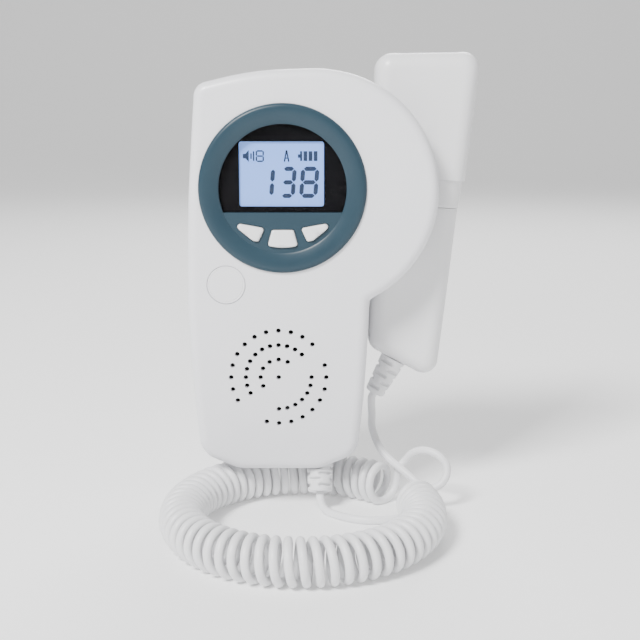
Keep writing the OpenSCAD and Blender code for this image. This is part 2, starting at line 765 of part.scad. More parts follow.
// A ribbed cone down the Z axis, from radius r0 to r1 over length l, with n ribs.
groove = 0.7;
function ribs(r0, r1, l, n) = [for (i = [0 : n - 1]) let (p = l / n, a = -i * p,
    ra = r0 + (r1 - r0) * i / n, rb = r0 + (r1 - r0) * (i + 1) / n)
    each [[ra, a], [rb, a - 0.6 * p], [rb - groove, a - 0.6 * p], [rb - groove, a - p]]];
module ribbed(r0, r1, l, n, up) {
    rotate_extrude($fn = 48) polygon(concat([[0, up]], up > 0 ? [[r0, up]] : [],
        ribs(r0, r1, l - 1.4, n), [[r1, 1.4 - l], [r1, -l], [0, -l]]));
}
module cord_grommet() {
    color("white") {
        difference() {
            at_grommet() ribbed(grommet_r, grommet_r - 0.5, relief_l, 4, 3);
            translate([-base_w / 2, -body_d, z_base - seam]) cube([base_w, body_d, 10]);
        }
        at_grommet() {
            translate([0, 0, -2.6]) cylinder(r = grommet_neck_r, h = 8.8);
            translate([0, 0, 6]) cylinder(r = grommet_neck_r + 1.4, h = 1.6);
        }
    }
}
// The oblique end of the handle, which the relief leaves square.
foot_run = probe_low_w - 2 * probe_foot_r;
foot_angle = atan(foot_drop / foot_run);
relief_neck_r = 3;
relief_shift = -0.8;
probe_relief_r = 5;
probe_relief_end_r = 3.7;
module at_probe_relief() {
    translate([0, 0, -probe_handle_h + probe_foot_r + foot_drop / 2])
        rotate([0, foot_angle, 0]) translate([relief_shift, 0, -probe_foot_r]) children();
}
module probe_relief() {
    color("white") at_probe() at_probe_relief() {
        translate([0, 0, -seam]) ribbed(probe_relief_r, probe_relief_end_r, probe_relief_l, 5, 0);
        translate([0, 0, -0.2]) cylinder(r = relief_neck_r, h = 6.4);
    }
}

// --- Cord ------------------------------------------------------------------

function unit(v) = v / norm(v);
// Directions along a list of points: the chords at both ends, the mean of the two between.
function along(p) = let (n = len(p) - 1) [for (i = [0 : n])
    unit(i == 0 ? p[1] - p[0] : i == n ? p[n] - p[n - 1]
        : unit(p[i + 1] - p[i]) + unit(p[i] - p[i - 1]))];
// A side direction carried along without twist.
function carried(t, first) = [for (i = 0, s = unit(first - (first * t[0]) * t[0]); i < len(t);
    i = i + 1, s = i < len(t) ? unit(s - (s * t[i]) * t[i]) : s) s];
// A closed tube: rings of points about p, with side direction s, fanned caps.
function ring_points(p, t, s, r, n, low) = [for (i = [0 : len(p) - 1], k = [0 : n - 1])
    let (a = 360 * (k + 0.5) / n, q = p[i] + r * (cos(a) * s[i] + sin(a) * cross(t[i], s[i])))
    [q[0], q[1], max(q[2], low)]];
module tube(p, t, s, r, n, low) {
    m = len(p);
    sides = [for (i = [0 : m - 2], k = [0 : n - 1]) let (a = i * n + k, b = i * n + (k + 1) % n)
        each [[a, a + n, b + n], [a, b + n, b]]];
    caps = [for (k = [0 : n - 1]) each [[m * n, k, (k + 1) % n],
        [m * n + 1, (m - 1) * n + (k + 1) % n, (m - 1) * n + k]]];
    polyhedron(points = concat(ring_points(p, t, s, r, n, low), [p[0], p[m - 1]]),
        faces = concat(sides, caps), convexity = 10);
}

// The curls wind about an oval that lies on the floor, under the body's base.
ring_x = 8.1;
ring_y = -55.2;
ring_a = 42.4;
ring_b = 43;
ring_start = 44;
ring_end = 378;
cord_r = cord_d / 2;
curl_r = (curl_d - cord_d) / 2;
flat_cut = cord_d / 10;
base_gap = 0.3;
z_floor = z_base - base_gap - curl_d + flat_cut;
z_ring = z_floor + curl_d / 2 - flat_cut;
rings_a_curl = 8;
turn_total = 360 * curls + 90;
ring_steps = curls * rings_a_curl + rings_a_curl / 4;
// The strand at share f of the way along: oval centre, outward direction, turn angle.
function oval(f) = let (a = ring_start + (ring_end - ring_start) * f)
    [ring_x + ring_a * cos(a), ring_y + ring_b * sin(a), z_ring];
function outward(f) = let (a = ring_start + (ring_end - ring_start) * f)
    unit([ring_b * cos(a), ring_a * sin(a), 0]);
function spoke(f) = let (w = -turn_total * f) cos(w) * outward(f) + [0, 0, sin(w)];
function strand(f) = oval(f) + curl_r * spoke(f);
tiny = 0.00001;
function heading(f) = unit(strand(f + tiny) - strand(f - tiny));
function square_to(v, t) = unit(v - (v * t) * t);
curl_p = [for (i = [0 : ring_steps]) strand(i / ring_steps)];
curl_t = [for (i = [0 : ring_steps]) heading(i / ring_steps)];
curl_s = [for (i = [0 : ring_steps]) square_to(spoke(i / ring_steps), curl_t[i])];
probe_end = curl_p[0] - cord_d * curl_t[0];
body_end = curl_p[ring_steps] + cord_d * curl_t[ring_steps];
full_p = concat([probe_end], curl_p, [body_end]);
full_t = concat([curl_t[0]], curl_t, [curl_t[ring_steps]]);
full_s = concat([curl_s[0]], curl_s, [curl_s[ring_steps]]);
// Least gap between neighbouring turns, measured on the strand's points.
fine = 24;
curl_gap = min([for (i = [0 : fine * (curls - 1)], k = [-6 : 6])
    norm(strand(i / (fine * curls)) - strand((i + fine + k) / (fine * curls)))]) - cord_d;
echo(curly_cord_least_gap_mm = curl_gap);

module curly_cord() { color("white") tube(full_p, full_t, full_s, cord_r, 6, z_floor); }

// From the base's grommet, over the floor, to the curls.
grommet_exit = [grommet_x, grommet_y - (relief_l + seam) * sin(grommet_lean),
    z_base - (relief_l + seam) * cos(grommet_lean)];
grommet_dir = [0, -sin(grommet_lean), -cos(grommet_lean)];
// Points of a route, as [x, y, height above the floor].
function above_floor(points) = [for (p = points) [p[0], p[1], z_floor + p[2]]];
body_route = concat([grommet_exit, grommet_exit + 1.2 * grommet_dir],
    above_floor([[14.3, -33, 4.05], [15.2, -35.1, 2.3], [17.2, -37.7, 1.47], [20, -40.5, 1.43],
        [23.5, -43.1, 1.43], [27.5, -45.1, 1.43], [32, -46.1, 1.43], [36.5, -45.8, 1.43],
        [40.5, -44.6, 1.43]]),
    [body_end + 1.4 * curl_t[ring_steps], body_end]);
// From the probe's relief, down over the curls' end, round one loose loop, to the curls.
function tilt(v) = [v[0] * cos(probe_tilt) + v[2] * sin(probe_tilt), v[1],
    -v[0] * sin(probe_tilt) + v[2] * cos(probe_tilt)];
function lean(v, a) = [v[0] * cos(a) + v[2] * sin(a), v[1], -v[0] * sin(a) + v[2] * cos(a)];
relief_root = [0, 0, -probe_handle_h + probe_foot_r + foot_drop / 2]
    + lean([relief_shift, 0, -probe_foot_r - probe_relief_l - 2 * seam], foot_angle);
relief_exit = [probe_x, probe_y, probe_z] + tilt(relief_root);
relief_dir = tilt(lean([0, 0, -1], foot_angle));
probe_route = concat([relief_exit, relief_exit + 2 * relief_dir],
    above_floor([[34.1, -11.2, 31.5], [34.1, -12.9, 27], [35.4, -15.6, 22.8], [37.8, -19, 18.9],
        [41, -22.4, 16.2], [44.4, -25.6, 14.2], [48, -28.4, 11.9], [51.5, -31, 9.7],
        [55.2, -32.6, 8.9], [58.8, -32.6, 10.3], [61, -31.4, 13.3], [61.2, -29.8, 16.7],
        [59, -28, 19.5], [55.6, -26, 20.9], [52, -23.8, 20.7], [48.8, -21.8, 18.7],
        [46.6, -20.6, 15.7]]),
    [probe_end - 1.6 * curl_t[0], probe_end]);
module cord_along(route, side) {
    t = along(route);
    color("white") tube(route, t, carried(t, side), cord_r, 8, z_floor);
}
module body_cord() { cord_along(body_route, [1, 0, 0]); }
module probe_cord() { cord_along(probe_route, [0, 1, 0]); }

front_shell();
rear_shell();
probe_holder();
dial_bezel();
display_lens();
display_mask();
lcd_glass();
lcd_frame();
backlight();
lcd_contact_strip();
button_left();
button_middle();
button_right();
tact_switches();
main_board();
board_chips();
board_screws();
speaker_gasket();
speaker_cone();
speaker_basket();
speaker_magnet();
badge();
battery_cells();
battery_springs();
battery_plates();
battery_door();
shell_screws();
holder_screws();
cord_grommet();
curly_cord();
body_cord();
probe_cord();
probe_relief();
probe_collar();
probe_head();
probe_face();
probe_crystals();
probe_backing();
probe_handle_front();
probe_handle_back();
probe_board();
probe_screws();
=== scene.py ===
"""Fetal doppler monitor: a white hand-held unit that stands on its curly cord, with its probe."""
import logging
import math
from dataclasses import dataclass, field
from enum import Enum
from typing import Callable, Optional, Sequence

import bmesh
import bpy
import numpy as np
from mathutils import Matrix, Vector


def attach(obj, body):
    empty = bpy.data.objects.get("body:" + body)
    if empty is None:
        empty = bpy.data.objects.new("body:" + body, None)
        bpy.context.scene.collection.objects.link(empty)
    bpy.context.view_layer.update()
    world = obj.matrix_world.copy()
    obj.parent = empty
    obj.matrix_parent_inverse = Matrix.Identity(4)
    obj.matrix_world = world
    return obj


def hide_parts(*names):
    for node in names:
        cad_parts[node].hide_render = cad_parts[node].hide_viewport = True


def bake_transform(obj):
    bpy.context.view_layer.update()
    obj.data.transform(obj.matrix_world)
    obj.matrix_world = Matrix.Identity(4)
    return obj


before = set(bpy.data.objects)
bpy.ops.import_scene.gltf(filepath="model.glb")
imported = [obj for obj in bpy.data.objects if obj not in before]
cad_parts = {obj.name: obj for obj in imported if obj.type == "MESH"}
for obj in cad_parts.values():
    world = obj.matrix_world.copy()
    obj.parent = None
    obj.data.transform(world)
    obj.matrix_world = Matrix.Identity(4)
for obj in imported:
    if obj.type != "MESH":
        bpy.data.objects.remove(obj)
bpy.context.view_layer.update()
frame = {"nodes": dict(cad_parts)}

log = logging.getLogger("doppler")
Array = np.ndarray
MM = 0.001
UNIT, PROBE, DOOR = "unit", "probe", "door"


# --- Finishes ----------------------------------------------------------------


class Grain(Enum):
    """The kinds of small relief that a finish may have."""

    NONE = "none"
    MOULDED = "moulded"
    RUBBER = "rubber"
    TURNED = "turned"
    FIBRE = "fibre"


@dataclass(frozen=True)
class Finish:
    """A procedural material, in Object coordinates.

    Colours are linear. tint is the colour that blotches of wear drift towards, by drift.
    """

    name: str
    colour: tuple[float, float, float]
    rough: float = 0.4
    metal: float = 0.0
    tint: tuple[float, float, float] = (0.8, 0.8, 0.78)
    drift: float = 0.25
    grain: Grain = Grain.MOULDED
    grain_size: float = 0.00045
    relief: float = 0.06
    rough_drift: float = 0.08
    coat: float = 0.0
    shine: float = 0.5
    sheen: float = 0.0
    soft: float = 0.0
    glow: float = 0.0
    alpha: float = 1.0

    def make(self) -> bpy.types.Material:
        """Builds the material, or returns it if it was built before.

        Returns:
            The Blender material.
        """
        kept = bpy.data.materials.get(self.name)
        if kept is not None:
            return kept
        material = bpy.data.materials.new(self.name)
        material.use_nodes = True
        tree = material.node_tree
        shader = tree.nodes["Principled BSDF"]
        shader.inputs["Metallic"].default_value = self.metal
        shader.inputs["Coat Weight"].default_value = self.coat
        shader.inputs["Specular IOR Level"].default_value = self.shine
        shader.inputs["Coat Roughness"].default_value = 0.12
        shader.inputs["Sheen Weight"].default_value = self.sheen
        shader.inputs["Subsurface Weight"].default_value = self.soft
        shader.inputs["Subsurface Scale"].default_value = 0.002
        shader.inputs["Subsurface Radius"].default_value = (1.0, 0.9, 0.8)
        shader.inputs["Alpha"].default_value = self.alpha
        where = tree.nodes.new("ShaderNodeTexCoord")
        self._colour(tree, shader, where)
        self._roughness(tree, shader, where)
        if self.grain is not Grain.NONE:
            self._relief(tree, shader, where)
        return material

    def _noise(self, tree, where, size: float, detail: float) -> bpy.types.Node:
        """A noise of that feature size in metres."""
        noise = tree.nodes.new("ShaderNodeTexNoise")
        noise.inputs["Scale"].default_value = 1.0 / size
        noise.inputs["Detail"].default_value = detail
        tree.links.new(where.outputs["Object"], noise.inputs["Vector"])
        return noise

    def _colour(self, tree, shader, where) -> None:
        """Colour drifts to the tint in soft blotches some 18 mm across."""
        blotch = self._noise(tree, where, 0.018, 3.0)
        ramp = tree.nodes.new("ShaderNodeValToRGB")
        ramp.color_ramp.elements[0].position = 0.38
        ramp.color_ramp.elements[1].position = 0.72
        base, tint = np.array(self.colour), np.array(self.tint)
        mixed = base * (1 - self.drift) + base * tint * self.drift
        ramp.color_ramp.elements[0].color = (*self.colour, 1.0)
        ramp.color_ramp.elements[1].color = (*mixed.tolist(), 1.0)
        tree.links.new(blotch.outputs["Fac"], ramp.inputs["Fac"])
        tree.links.new(ramp.outputs["Color"], shader.inputs["Base Color"])
        if self.glow > 0:
            tree.links.new(ramp.outputs["Color"], shader.inputs["Emission Color"])
            shader.inputs["Emission Strength"].default_value = self.glow

    def _roughness(self, tree, shader, where) -> None:
        """Roughness varies about its mean, as handling polishes a surface unevenly."""
        smear = self._noise(tree, where, 0.006, 4.0)
        span = tree.nodes.new("ShaderNodeMapRange")
        span.inputs["To Min"].default_value = max(0.02, self.rough - self.rough_drift)
        span.inputs["To Max"].default_value = min(1.0, self.rough + self.rough_drift)
        tree.links.new(smear.outputs["Fac"], span.inputs["Value"])
        tree.links.new(span.outputs["Result"], shader.inputs["Roughness"])

    def _relief(self, tree, shader, where) -> None:
        """Bump from a noise, a wave or a cell pattern, by the kind of grain."""
        if self.grain is Grain.TURNED:
            height = tree.nodes.new("ShaderNodeTexWave")
            height.wave_type, height.rings_direction = "RINGS", "Y"
            height.inputs["Scale"].default_value = 0.3 / self.grain_size
            height.inputs["Distortion"].default_value = 0.6
        elif self.grain is Grain.FIBRE:
            height = tree.nodes.new("ShaderNodeTexVoronoi")
            height.inputs["Scale"].default_value = 1.0 / self.grain_size
        else:
            height = self._noise(tree, where, self.grain_size, 6.0)
        if self.grain in (Grain.TURNED, Grain.FIBRE):
            tree.links.new(where.outputs["Object"], height.inputs["Vector"])
        bump = tree.nodes.new("ShaderNodeBump")
        bump.inputs["Strength"].default_value = self.relief
        bump.inputs["Distance"].default_value = self.grain_size * 0.4
        out = "Distance" if self.grain is Grain.FIBRE else 0
        tree.links.new(height.outputs[out], bump.inputs["Height"])
        tree.links.new(bump.outputs["Normal"], shader.inputs["Normal"])


@dataclass(frozen=True)
class Palette:
    """Every finish of the object."""

    shell: Finish = Finish("shell_satin_white", (0.80, 0.80, 0.825), 0.34, relief=0.05, coat=0.15,
                           tint=(0.96, 0.965, 0.97), drift=0.5, soft=0.04)
    probe: Finish = Finish("probe_satin_white", (0.79, 0.79, 0.80), 0.36, relief=0.05, coat=0.1,
                           tint=(0.97, 0.97, 0.96), drift=0.5, soft=0.04)
    badge: Finish = Finish("badge_gloss_white", (0.80, 0.80, 0.82), 0.22, relief=0.02, coat=0.3,
                           tint=(0.97, 0.96, 0.97), drift=0.4)
    dial: Finish = Finish("dial_slate_blue", (0.020, 0.044, 0.062), 0.36, relief=0.08, shine=0.3,
                          tint=(0.80, 0.86, 0.9), drift=0.6)
    key: Finish = Finish("key_satin_white", (0.80, 0.81, 0.82), 0.3, relief=0.04, coat=0.15,
                         tint=(0.97, 0.97, 0.96), drift=0.4)
    mask: Finish = Finish("window_black", (0.003, 0.003, 0.004), 0.3, relief=0.0, shine=0.1,
                          tint=(1.5, 1.2, 1.2), drift=0.6, grain=Grain.NONE)
    lens: Finish = Finish("lens_acrylic", (0.02, 0.02, 0.022), 0.06, rough_drift=0.02, alpha=0.03,
                          grain=Grain.NONE, shine=0.1)
    panel: Finish = Finish("lcd_lit_blue", (0.20, 0.36, 0.84), 0.3, tint=(1.08, 1.04, 1.02),
                           drift=0.6, grain=Grain.FIBRE, grain_size=0.0003, relief=0.02, glow=0.5)
    ink: Finish = Finish("lcd_segment_navy", (0.012, 0.028, 0.075), 0.35, grain=Grain.NONE)
    cord: Finish = Finish("cord_soft_white", (0.79, 0.79, 0.80), 0.38, grain=Grain.RUBBER,
                          grain_size=0.0006, relief=0.08,
                          tint=(0.96, 0.965, 0.97), drift=0.5)
    steel: Finish = Finish("screw_zinc", (0.56, 0.56, 0.55), 0.3, 1.0, grain=Grain.TURNED,
                           grain_size=0.0002, relief=0.1)
    nickel: Finish = Finish("contact_nickel", (0.66, 0.64, 0.58), 0.2, 1.0, relief=0.05)
    board: Finish = Finish("board_solder_mask", (0.012, 0.11, 0.04), 0.3, relief=0.15, coat=0.2,
                           grain=Grain.FIBRE, grain_size=0.0009)
    chip: Finish = Finish("chip_moulded", (0.02, 0.02, 0.022), 0.5, relief=0.2)
    rubber: Finish = Finish("gasket_black", (0.015, 0.015, 0.015), 0.65, grain=Grain.RUBBER,
                            relief=0.2)
    paper: Finish = Finish("cone_paper", (0.02, 0.02, 0.021), 0.8, grain=Grain.FIBRE,
                           grain_size=0.0007, relief=0.3)
    basket: Finish = Finish("basket_pressed", (0.1, 0.1, 0.105), 0.45, 0.7, relief=0.1)
    ferrite: Finish = Finish("magnet_ferrite", (0.045, 0.045, 0.05), 0.6, relief=0.3)
    sleeve: Finish = Finish("cell_sleeve", (0.36, 0.2, 0.035), 0.25, coat=0.3, relief=0.03)
    frame: Finish = Finish("frame_ivory", (0.6, 0.6, 0.55), 0.5)
    diffuser: Finish = Finish("backlight_milky", (0.7, 0.78, 0.85), 0.6, glow=0.3)
    face: Finish = Finish("probe_face_grey", (0.48, 0.50, 0.53), 0.42, grain=Grain.RUBBER,
                          relief=0.1, sheen=0.1)
    ceramic: Finish = Finish("crystal_silvered", (0.6, 0.6, 0.57), 0.35, 0.8, relief=0.1)


FINISH = Palette()


# --- Mesh tools --------------------------------------------------------------


def signed_volume(points: Array, faces: Sequence[Sequence[int]]) -> float:
    """Six times the volume inside the faces: the sum of each fan triangle's triple product."""
    total = 0.0
    by_size: dict[int, list[Sequence[int]]] = {}
    for face in faces:
        by_size.setdefault(len(face), []).append(face)
    for size, same in by_size.items():
        index = np.asarray(same)
        for k in range(1, size - 1):
            a, b, c = points[index[:, 0]], points[index[:, k]], points[index[:, k + 1]]
            total += float(np.einsum("ij,ij->i", a, np.cross(b, c)).sum())
    return total


def piece(name: str, points: Array, faces: Sequence[Sequence[int]],
          finish: Optional[Finish] = None, sharp: float = 34.0) -> bpy.types.Object:
    """Puts a closed surface into a mesh, with its faces pointing outwards.

    Args:
        name: the piece's name.
        points: n by 3, in metres.
        faces: lists of point numbers, all wound the same way.
        finish: its material, if any.
        sharp: edges that turn by more than this many degrees are shown sharp.

    Returns:
        The new object, at the origin.
    """
    if signed_volume(points, faces) < 0:
        faces = [list(reversed(f)) for f in faces]
    mesh = bpy.data.meshes.new(name)
    mesh.from_pydata(points.tolist(), [], [list(map(int, f)) for f in faces])
    mesh.update()
    made = bpy.data.objects.new(name, mesh)
    bpy.context.scene.collection.objects.link(made)
    smooth(made, sharp)
    if finish is not None:
        made.data.materials.append(finish.make())
    return made


def smooth(made: bpy.types.Object, sharp: float) -> None:
    """Shades a mesh smooth, but for edges that turn by more than that many degrees."""
    made.data.shade_smooth()
    made.data.set_sharp_from_angle(angle=math.radians(sharp))


def grid_faces(rows: int, columns: int) -> Array:
    """Quads between rows of points, each row a closed loop of that many columns."""
    i, j = np.meshgrid(np.arange(rows - 1), np.arange(columns), indexing="ij")
    right = (j + 1) % columns
    return np.stack([i * columns + j, i * columns + right, (i + 1) * columns + right,
                     (i + 1) * columns + j], -1).reshape(-1, 4)


def loops_piece(name: str, loops: Array, finish: Optional[Finish] = None,
                sharp: float = 34.0) -> bpy.types.Object:
    """A closed surface through a stack of loops, with a flat face over the first and the last.

    Args:
        name: the piece's name.
        loops: rows by columns by 3.
        finish: its material.
        sharp: the angle in degrees past which an edge is shown sharp.

    Returns:
        The new object.
    """
    rows, columns = loops.shape[:2]
    faces = grid_faces(rows, columns).tolist()
    faces.append(list(range(columns - 1, -1, -1)))
    faces.append(list(range((rows - 1) * columns, rows * columns)))
    return piece(name, loops.reshape(-1, 3), faces, finish, sharp)


def join(name: str, parts: Sequence[bpy.types.Object]) -> bpy.types.Object:
    """Puts several meshes into the first, which takes the name."""
    with bpy.context.temp_override(active_object=parts[0], selected_editable_objects=list(parts)):
        bpy.ops.object.join()
    parts[0].name = name
    return parts[0]


def keep(made: bpy.types.Object, body: str, node: str) -> None:
    """Lets a piece ride on its body in place of a node, which it hides.

    Args:
        made: the piece.
        body: the body that it rides on.
        node: the node that it stands for.
    """
    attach(made, body)
    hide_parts(node)
    log.info("%s: %d faces", made.name, len(made.data.polygons))


def carve(base: bpy.types.Object, tool: bpy.types.Object, way: str = "DIFFERENCE",
          sharp: float = 34.0) -> bpy.types.Object:
    """Cuts, joins or crosses one closed mesh with another, and drops the second."""
    change = base.modifiers.new("carve", "BOOLEAN")
    change.operation, change.object, change.solver = way, tool, "MANIFOLD"
    seen = base.evaluated_get(bpy.context.evaluated_depsgraph_get())
    mesh = bpy.data.meshes.new_from_object(seen)
    base.modifiers.clear()
    old, base.data = base.data, mesh
    mesh.name = base.name
    bpy.data.meshes.remove(old)
    bpy.data.objects.remove(tool)
    smooth(base, sharp)
    return base


def soften(made: bpy.types.Object, width: float, segments: int = 3,
           angle: float = 40.0) -> bpy.types.Object:
    """Rounds a mesh's sharp edges by a bevel of that width in metres, and applies it."""
    mesh = made.data
    shape = bmesh.new()
    shape.from_mesh(mesh)
    bmesh.ops.remove_doubles(shape, verts=shape.verts, dist=1e-7)
    limit = math.radians(angle)
    edges = [e for e in shape.edges if len(e.link_faces) == 2 and e.calc_face_angle(0) > limit]
    bmesh.ops.bevel(shape, geom=edges, offset=width, segments=segments, affect="EDGES",
                    profile=0.5, clamp_overlap=True)
    shape.to_mesh(mesh)
    shape.free()
    smooth(made, 34.0)
    return made


def prism(name: str, outline: Array, low: float, high: float,
          finish: Optional[Finish] = None) -> bpy.types.Object:
    """A flat outline in X and Z, given a depth from low to high along Y, all in metres."""
    loops = np.stack([np.stack([outline[:, 0], np.full(len(outline), y), outline[:, 1]], 1)
                      for y in (low, high)])
    return loops_piece(name, loops, finish)


def polar(radius: Array | float, turn: Array) -> Array:
    """Points at that distance and turn: the radius times cosine and sine."""
    return np.stack([radius * np.cos(turn), radius * np.sin(turn)], 1)


def edge_reach(support: Array, cosine: Array, least: float) -> Array:
    """Distances to a convex edge: the least of its tangents' distances over their cosines.

    Args:
        support: each tangent's distance.
        cosine: for each direction, the cosine of the angle to each tangent's normal.
        least: tangents with a lower cosine are passed over.

    Returns:
        One distance for each direction.
    """
    return np.where(cosine > least, support[None] / np.maximum(cosine, least), np.inf).min(1)


def disc(radius: float, count: int, x: float = 0.0, z: float = 0.0) -> Array:
    """Points of a circle about (x, z)."""
    return polar(radius, np.linspace(0, 2 * np.pi, count, endpoint=False)) + [x, z]


def rods(name: str, places: Sequence[Sequence[float]], radius: float, low: float,
         high: float, count: int = 24) -> bpy.types.Object:
    """Equal rods along Y at several places, as one mesh."""
    return join(name, [prism(f"{name}_{i}", disc(radius, count, p[0], p[1]), low, high)
                       for i, p in enumerate(places)])


def block(name: str, low: Sequence[float], high: Sequence[float]) -> bpy.types.Object:
    """A box between two corners, in metres."""
    outline = np.array([[low[0], low[2]], [high[0], low[2]], [high[0], high[2]], [low[0], high[2]]])
    return prism(name, outline, low[1], high[1])


def lathe(name: str, profile: Array, frame_at: "Placed", count: int = 96,
          finish: Optional[Finish] = None, sharp: float = 34.0,
          ripple: Optional[Callable[[Array, Array], Array]] = None) -> bpy.types.Object:
    """A profile turned about an axis: radius times cosine and sine, and height along the axis.

    Args:
        name: the piece's name.
        profile: rows of (radius, height) in metres, first and last on or near the axis.
        frame_at: where the axis is.
        count: points round.
        finish: its material.
        sharp: the angle in degrees past which an edge is shown sharp.
        ripple: adds a length to the radius for each (height, turn).

    Returns:
        The new object.
    """
    turn = np.linspace(0, 2 * np.pi, count, endpoint=False)
    radius = np.repeat(profile[:, :1], count, 1)
    height = np.repeat(profile[:, 1:], count, 1)
    if ripple is not None:
        radius = radius + ripple(height, np.broadcast_to(turn, height.shape))
    local = np.stack([radius * np.cos(turn), radius * np.sin(turn), height], -1)
    return loops_piece(name, frame_at.put(local), finish, sharp)


@dataclass(frozen=True)
class Placed:
    """A place and three directions, to put a shape that was worked out about the Z axis."""

    origin: Array
    x: Array
    y: Array
    z: Array

    def put(self, local: Array) -> Array:
        """Local coordinates times the three directions, plus the place."""
        return (self.origin + local[..., :1] * self.x + local[..., 1:2] * self.y
                + local[..., 2:] * self.z)

    @classmethod
    def along_y(cls, x: float, z: float) -> "Placed":
        """The local Z axis runs along +Y through (x, z), in metres."""
        return cls(np.array([x, 0.0, z]), np.array([1.0, 0, 0]), np.array([0, 0, -1.0]),
                   np.array([0, 1.0, 0]))

    @classmethod
    def along(cls, origin: Array, direction: Array, side: Array) -> "Placed":
        """The local Z axis runs along a direction, and X as near to side as it can."""
        z = direction / np.linalg.norm(direction)
        x = side - (side @ z) * z
        x = x / np.linalg.norm(x)
        return cls(origin, x, np.cross(z, x), z)


# --- Rounded plates ----------------------------------------------------------


@dataclass(frozen=True)
class Outline:
    """A shape in X and Z: the hull of discs, joined to the hulls of other discs.

    Its reach from the centre in a direction is the least, over all its tangents, of the
    tangent's distance over the cosine of the angle to it, and the greatest of the hulls'.
    """

    centre: tuple[float, float]
    hulls: tuple[Array, ...]
    blend: float = 0.0

    def reach(self, turn: Array, inset: float = 0.0) -> Array:
        """Distances from the centre to the edge, with the edge moved in by inset metres."""
        tangent = np.radians(np.arange(0, 360, 0.4))
        normal = polar(1.0, tangent)
        cosine = np.cos(tangent[None] - turn[:, None])
        found = []
        for hull in self.hulls:
            support = ((hull[:, :2] - self.centre) @ normal.T + hull[:, 2:] - inset).max(0)
            found.append(edge_reach(support, cosine, 0.04))
        best = found[0]
        for other in found[1:]:
            gap = best - other
            best = (best + other + np.sqrt(gap * gap + self.blend ** 2)) / 2
        return best

    def turns(self, count: int) -> Array:
        """Angles that space the outline's points by length, and more closely where it bends."""
        fine = np.linspace(0, 2 * np.pi, 2881)
        reach = self.reach(fine)
        points = polar(reach, fine)
        step = np.diff(points, axis=0)
        length = np.linalg.norm(step, axis=1)
        heading = np.unwrap(np.arctan2(step[:, 1], step[:, 0]))
        bend = np.abs(np.gradient(heading))
        weight = length / length.sum() + 1.6 * bend / bend.sum()
        total = np.concatenate([[0], np.cumsum(weight)])
        return np.interp(np.linspace(0, total[-1], count, endpoint=False), total, fine)

    def loops(self, turn: Array, profile: Sequence[tuple[float, float]]) -> Array:
        """One loop of points for each (inset, y) of a profile, in metres."""
        rows = []
        for inset, y in profile:
            reach = self.reach(turn, inset)
            rows.append(np.stack([self.centre[0] + reach * np.cos(turn), np.full(len(turn), y),
                                  self.centre[1] + reach * np.sin(turn)], 1))
        return np.stack(rows)


def rounding(edge: float, flat: float, radius: float, steps: int = 7,
             inwards: bool = True) -> list[tuple[float, float]]:
    """A quarter round as (inset, y) from the flat face to the side.

    The inset is the radius times one less the sine, and y leaves the face by the radius times
    one less the cosine, as the angle goes from 0 to 90 degrees.

    Args:
        edge: the side's inset.
        flat: the face's y.
        radius: the round's radius.
        steps: how many segments.
        inwards: True where the body lies towards +Y from the face.

    Returns:
        The (inset, y) pairs.
    """
    way = 1.0 if inwards else -1.0
    angles = np.linspace(0, np.pi / 2, steps + 1)
    return [(edge + radius * (1 - math.sin(a)), flat + way * radius * (1 - math.cos(a)))
            for a in angles]


SUPPORT = 0.4 * MM


def plate(name: str, outline: Outline, count: int, front: float, back: float,
          front_round: float, back_round: float, inset: float = 0.0,
          finish: Optional[Finish] = None) -> bpy.types.Object:
    """A plate between two faces, with rounded or sharp edges.

    Args:
        name: the piece's name.
        outline: its shape in X and Z.
        count: points round.
        front: y of the face towards -Y.
        back: y of the face towards +Y.
        front_round: radius of the front edge, or 0.
        back_round: radius of the back edge, or 0.
        inset: how far the sides are moved in.
        finish: its material.

    Returns:
        The new object.
    """
    profile: list[tuple[float, float]] = []
    if front_round > 0:
        rows = rounding(inset, front, front_round)
        profile += [(rows[0][0] + SUPPORT, front)] + rows
    else:
        profile += [(inset, front)]
    if back_round > 0:
        rows = rounding(inset, back, back_round, inwards=False)[::-1]
        profile += rows + [(rows[-1][0] + SUPPORT, back)]
    else:
        profile += [(inset, back)]
    return loops_piece(name, outline.loops(outline.turns(count), profile), finish)


def discs(rows: Sequence[Sequence[float]]) -> Array:
    """Discs given as (x, z, radius) in millimetres, as an array in metres."""
    return np.array(rows, dtype=float) * MM


def rounded_box(x: float, z: float, width: float, height: float, radius: float,
                grow: float = 0.0) -> Outline:
    """A box's outline with round corners.

    Args:
        x: its middle, in millimetres as are the rest.
        z: its middle.
        width: its size along X.
        height: its size along Z.
        radius: the corners' radius.
        grow: how far its edge is moved out.

    Returns:
        The outline.
    """
    return Outline((x * MM, z * MM), (discs([[x + s * (width / 2 - radius),
                                              z + t * (height / 2 - radius), radius + grow]
                                             for s in (-1, 1) for t in (-1, 1)]),))


# --- Cords -------------------------------------------------------------------


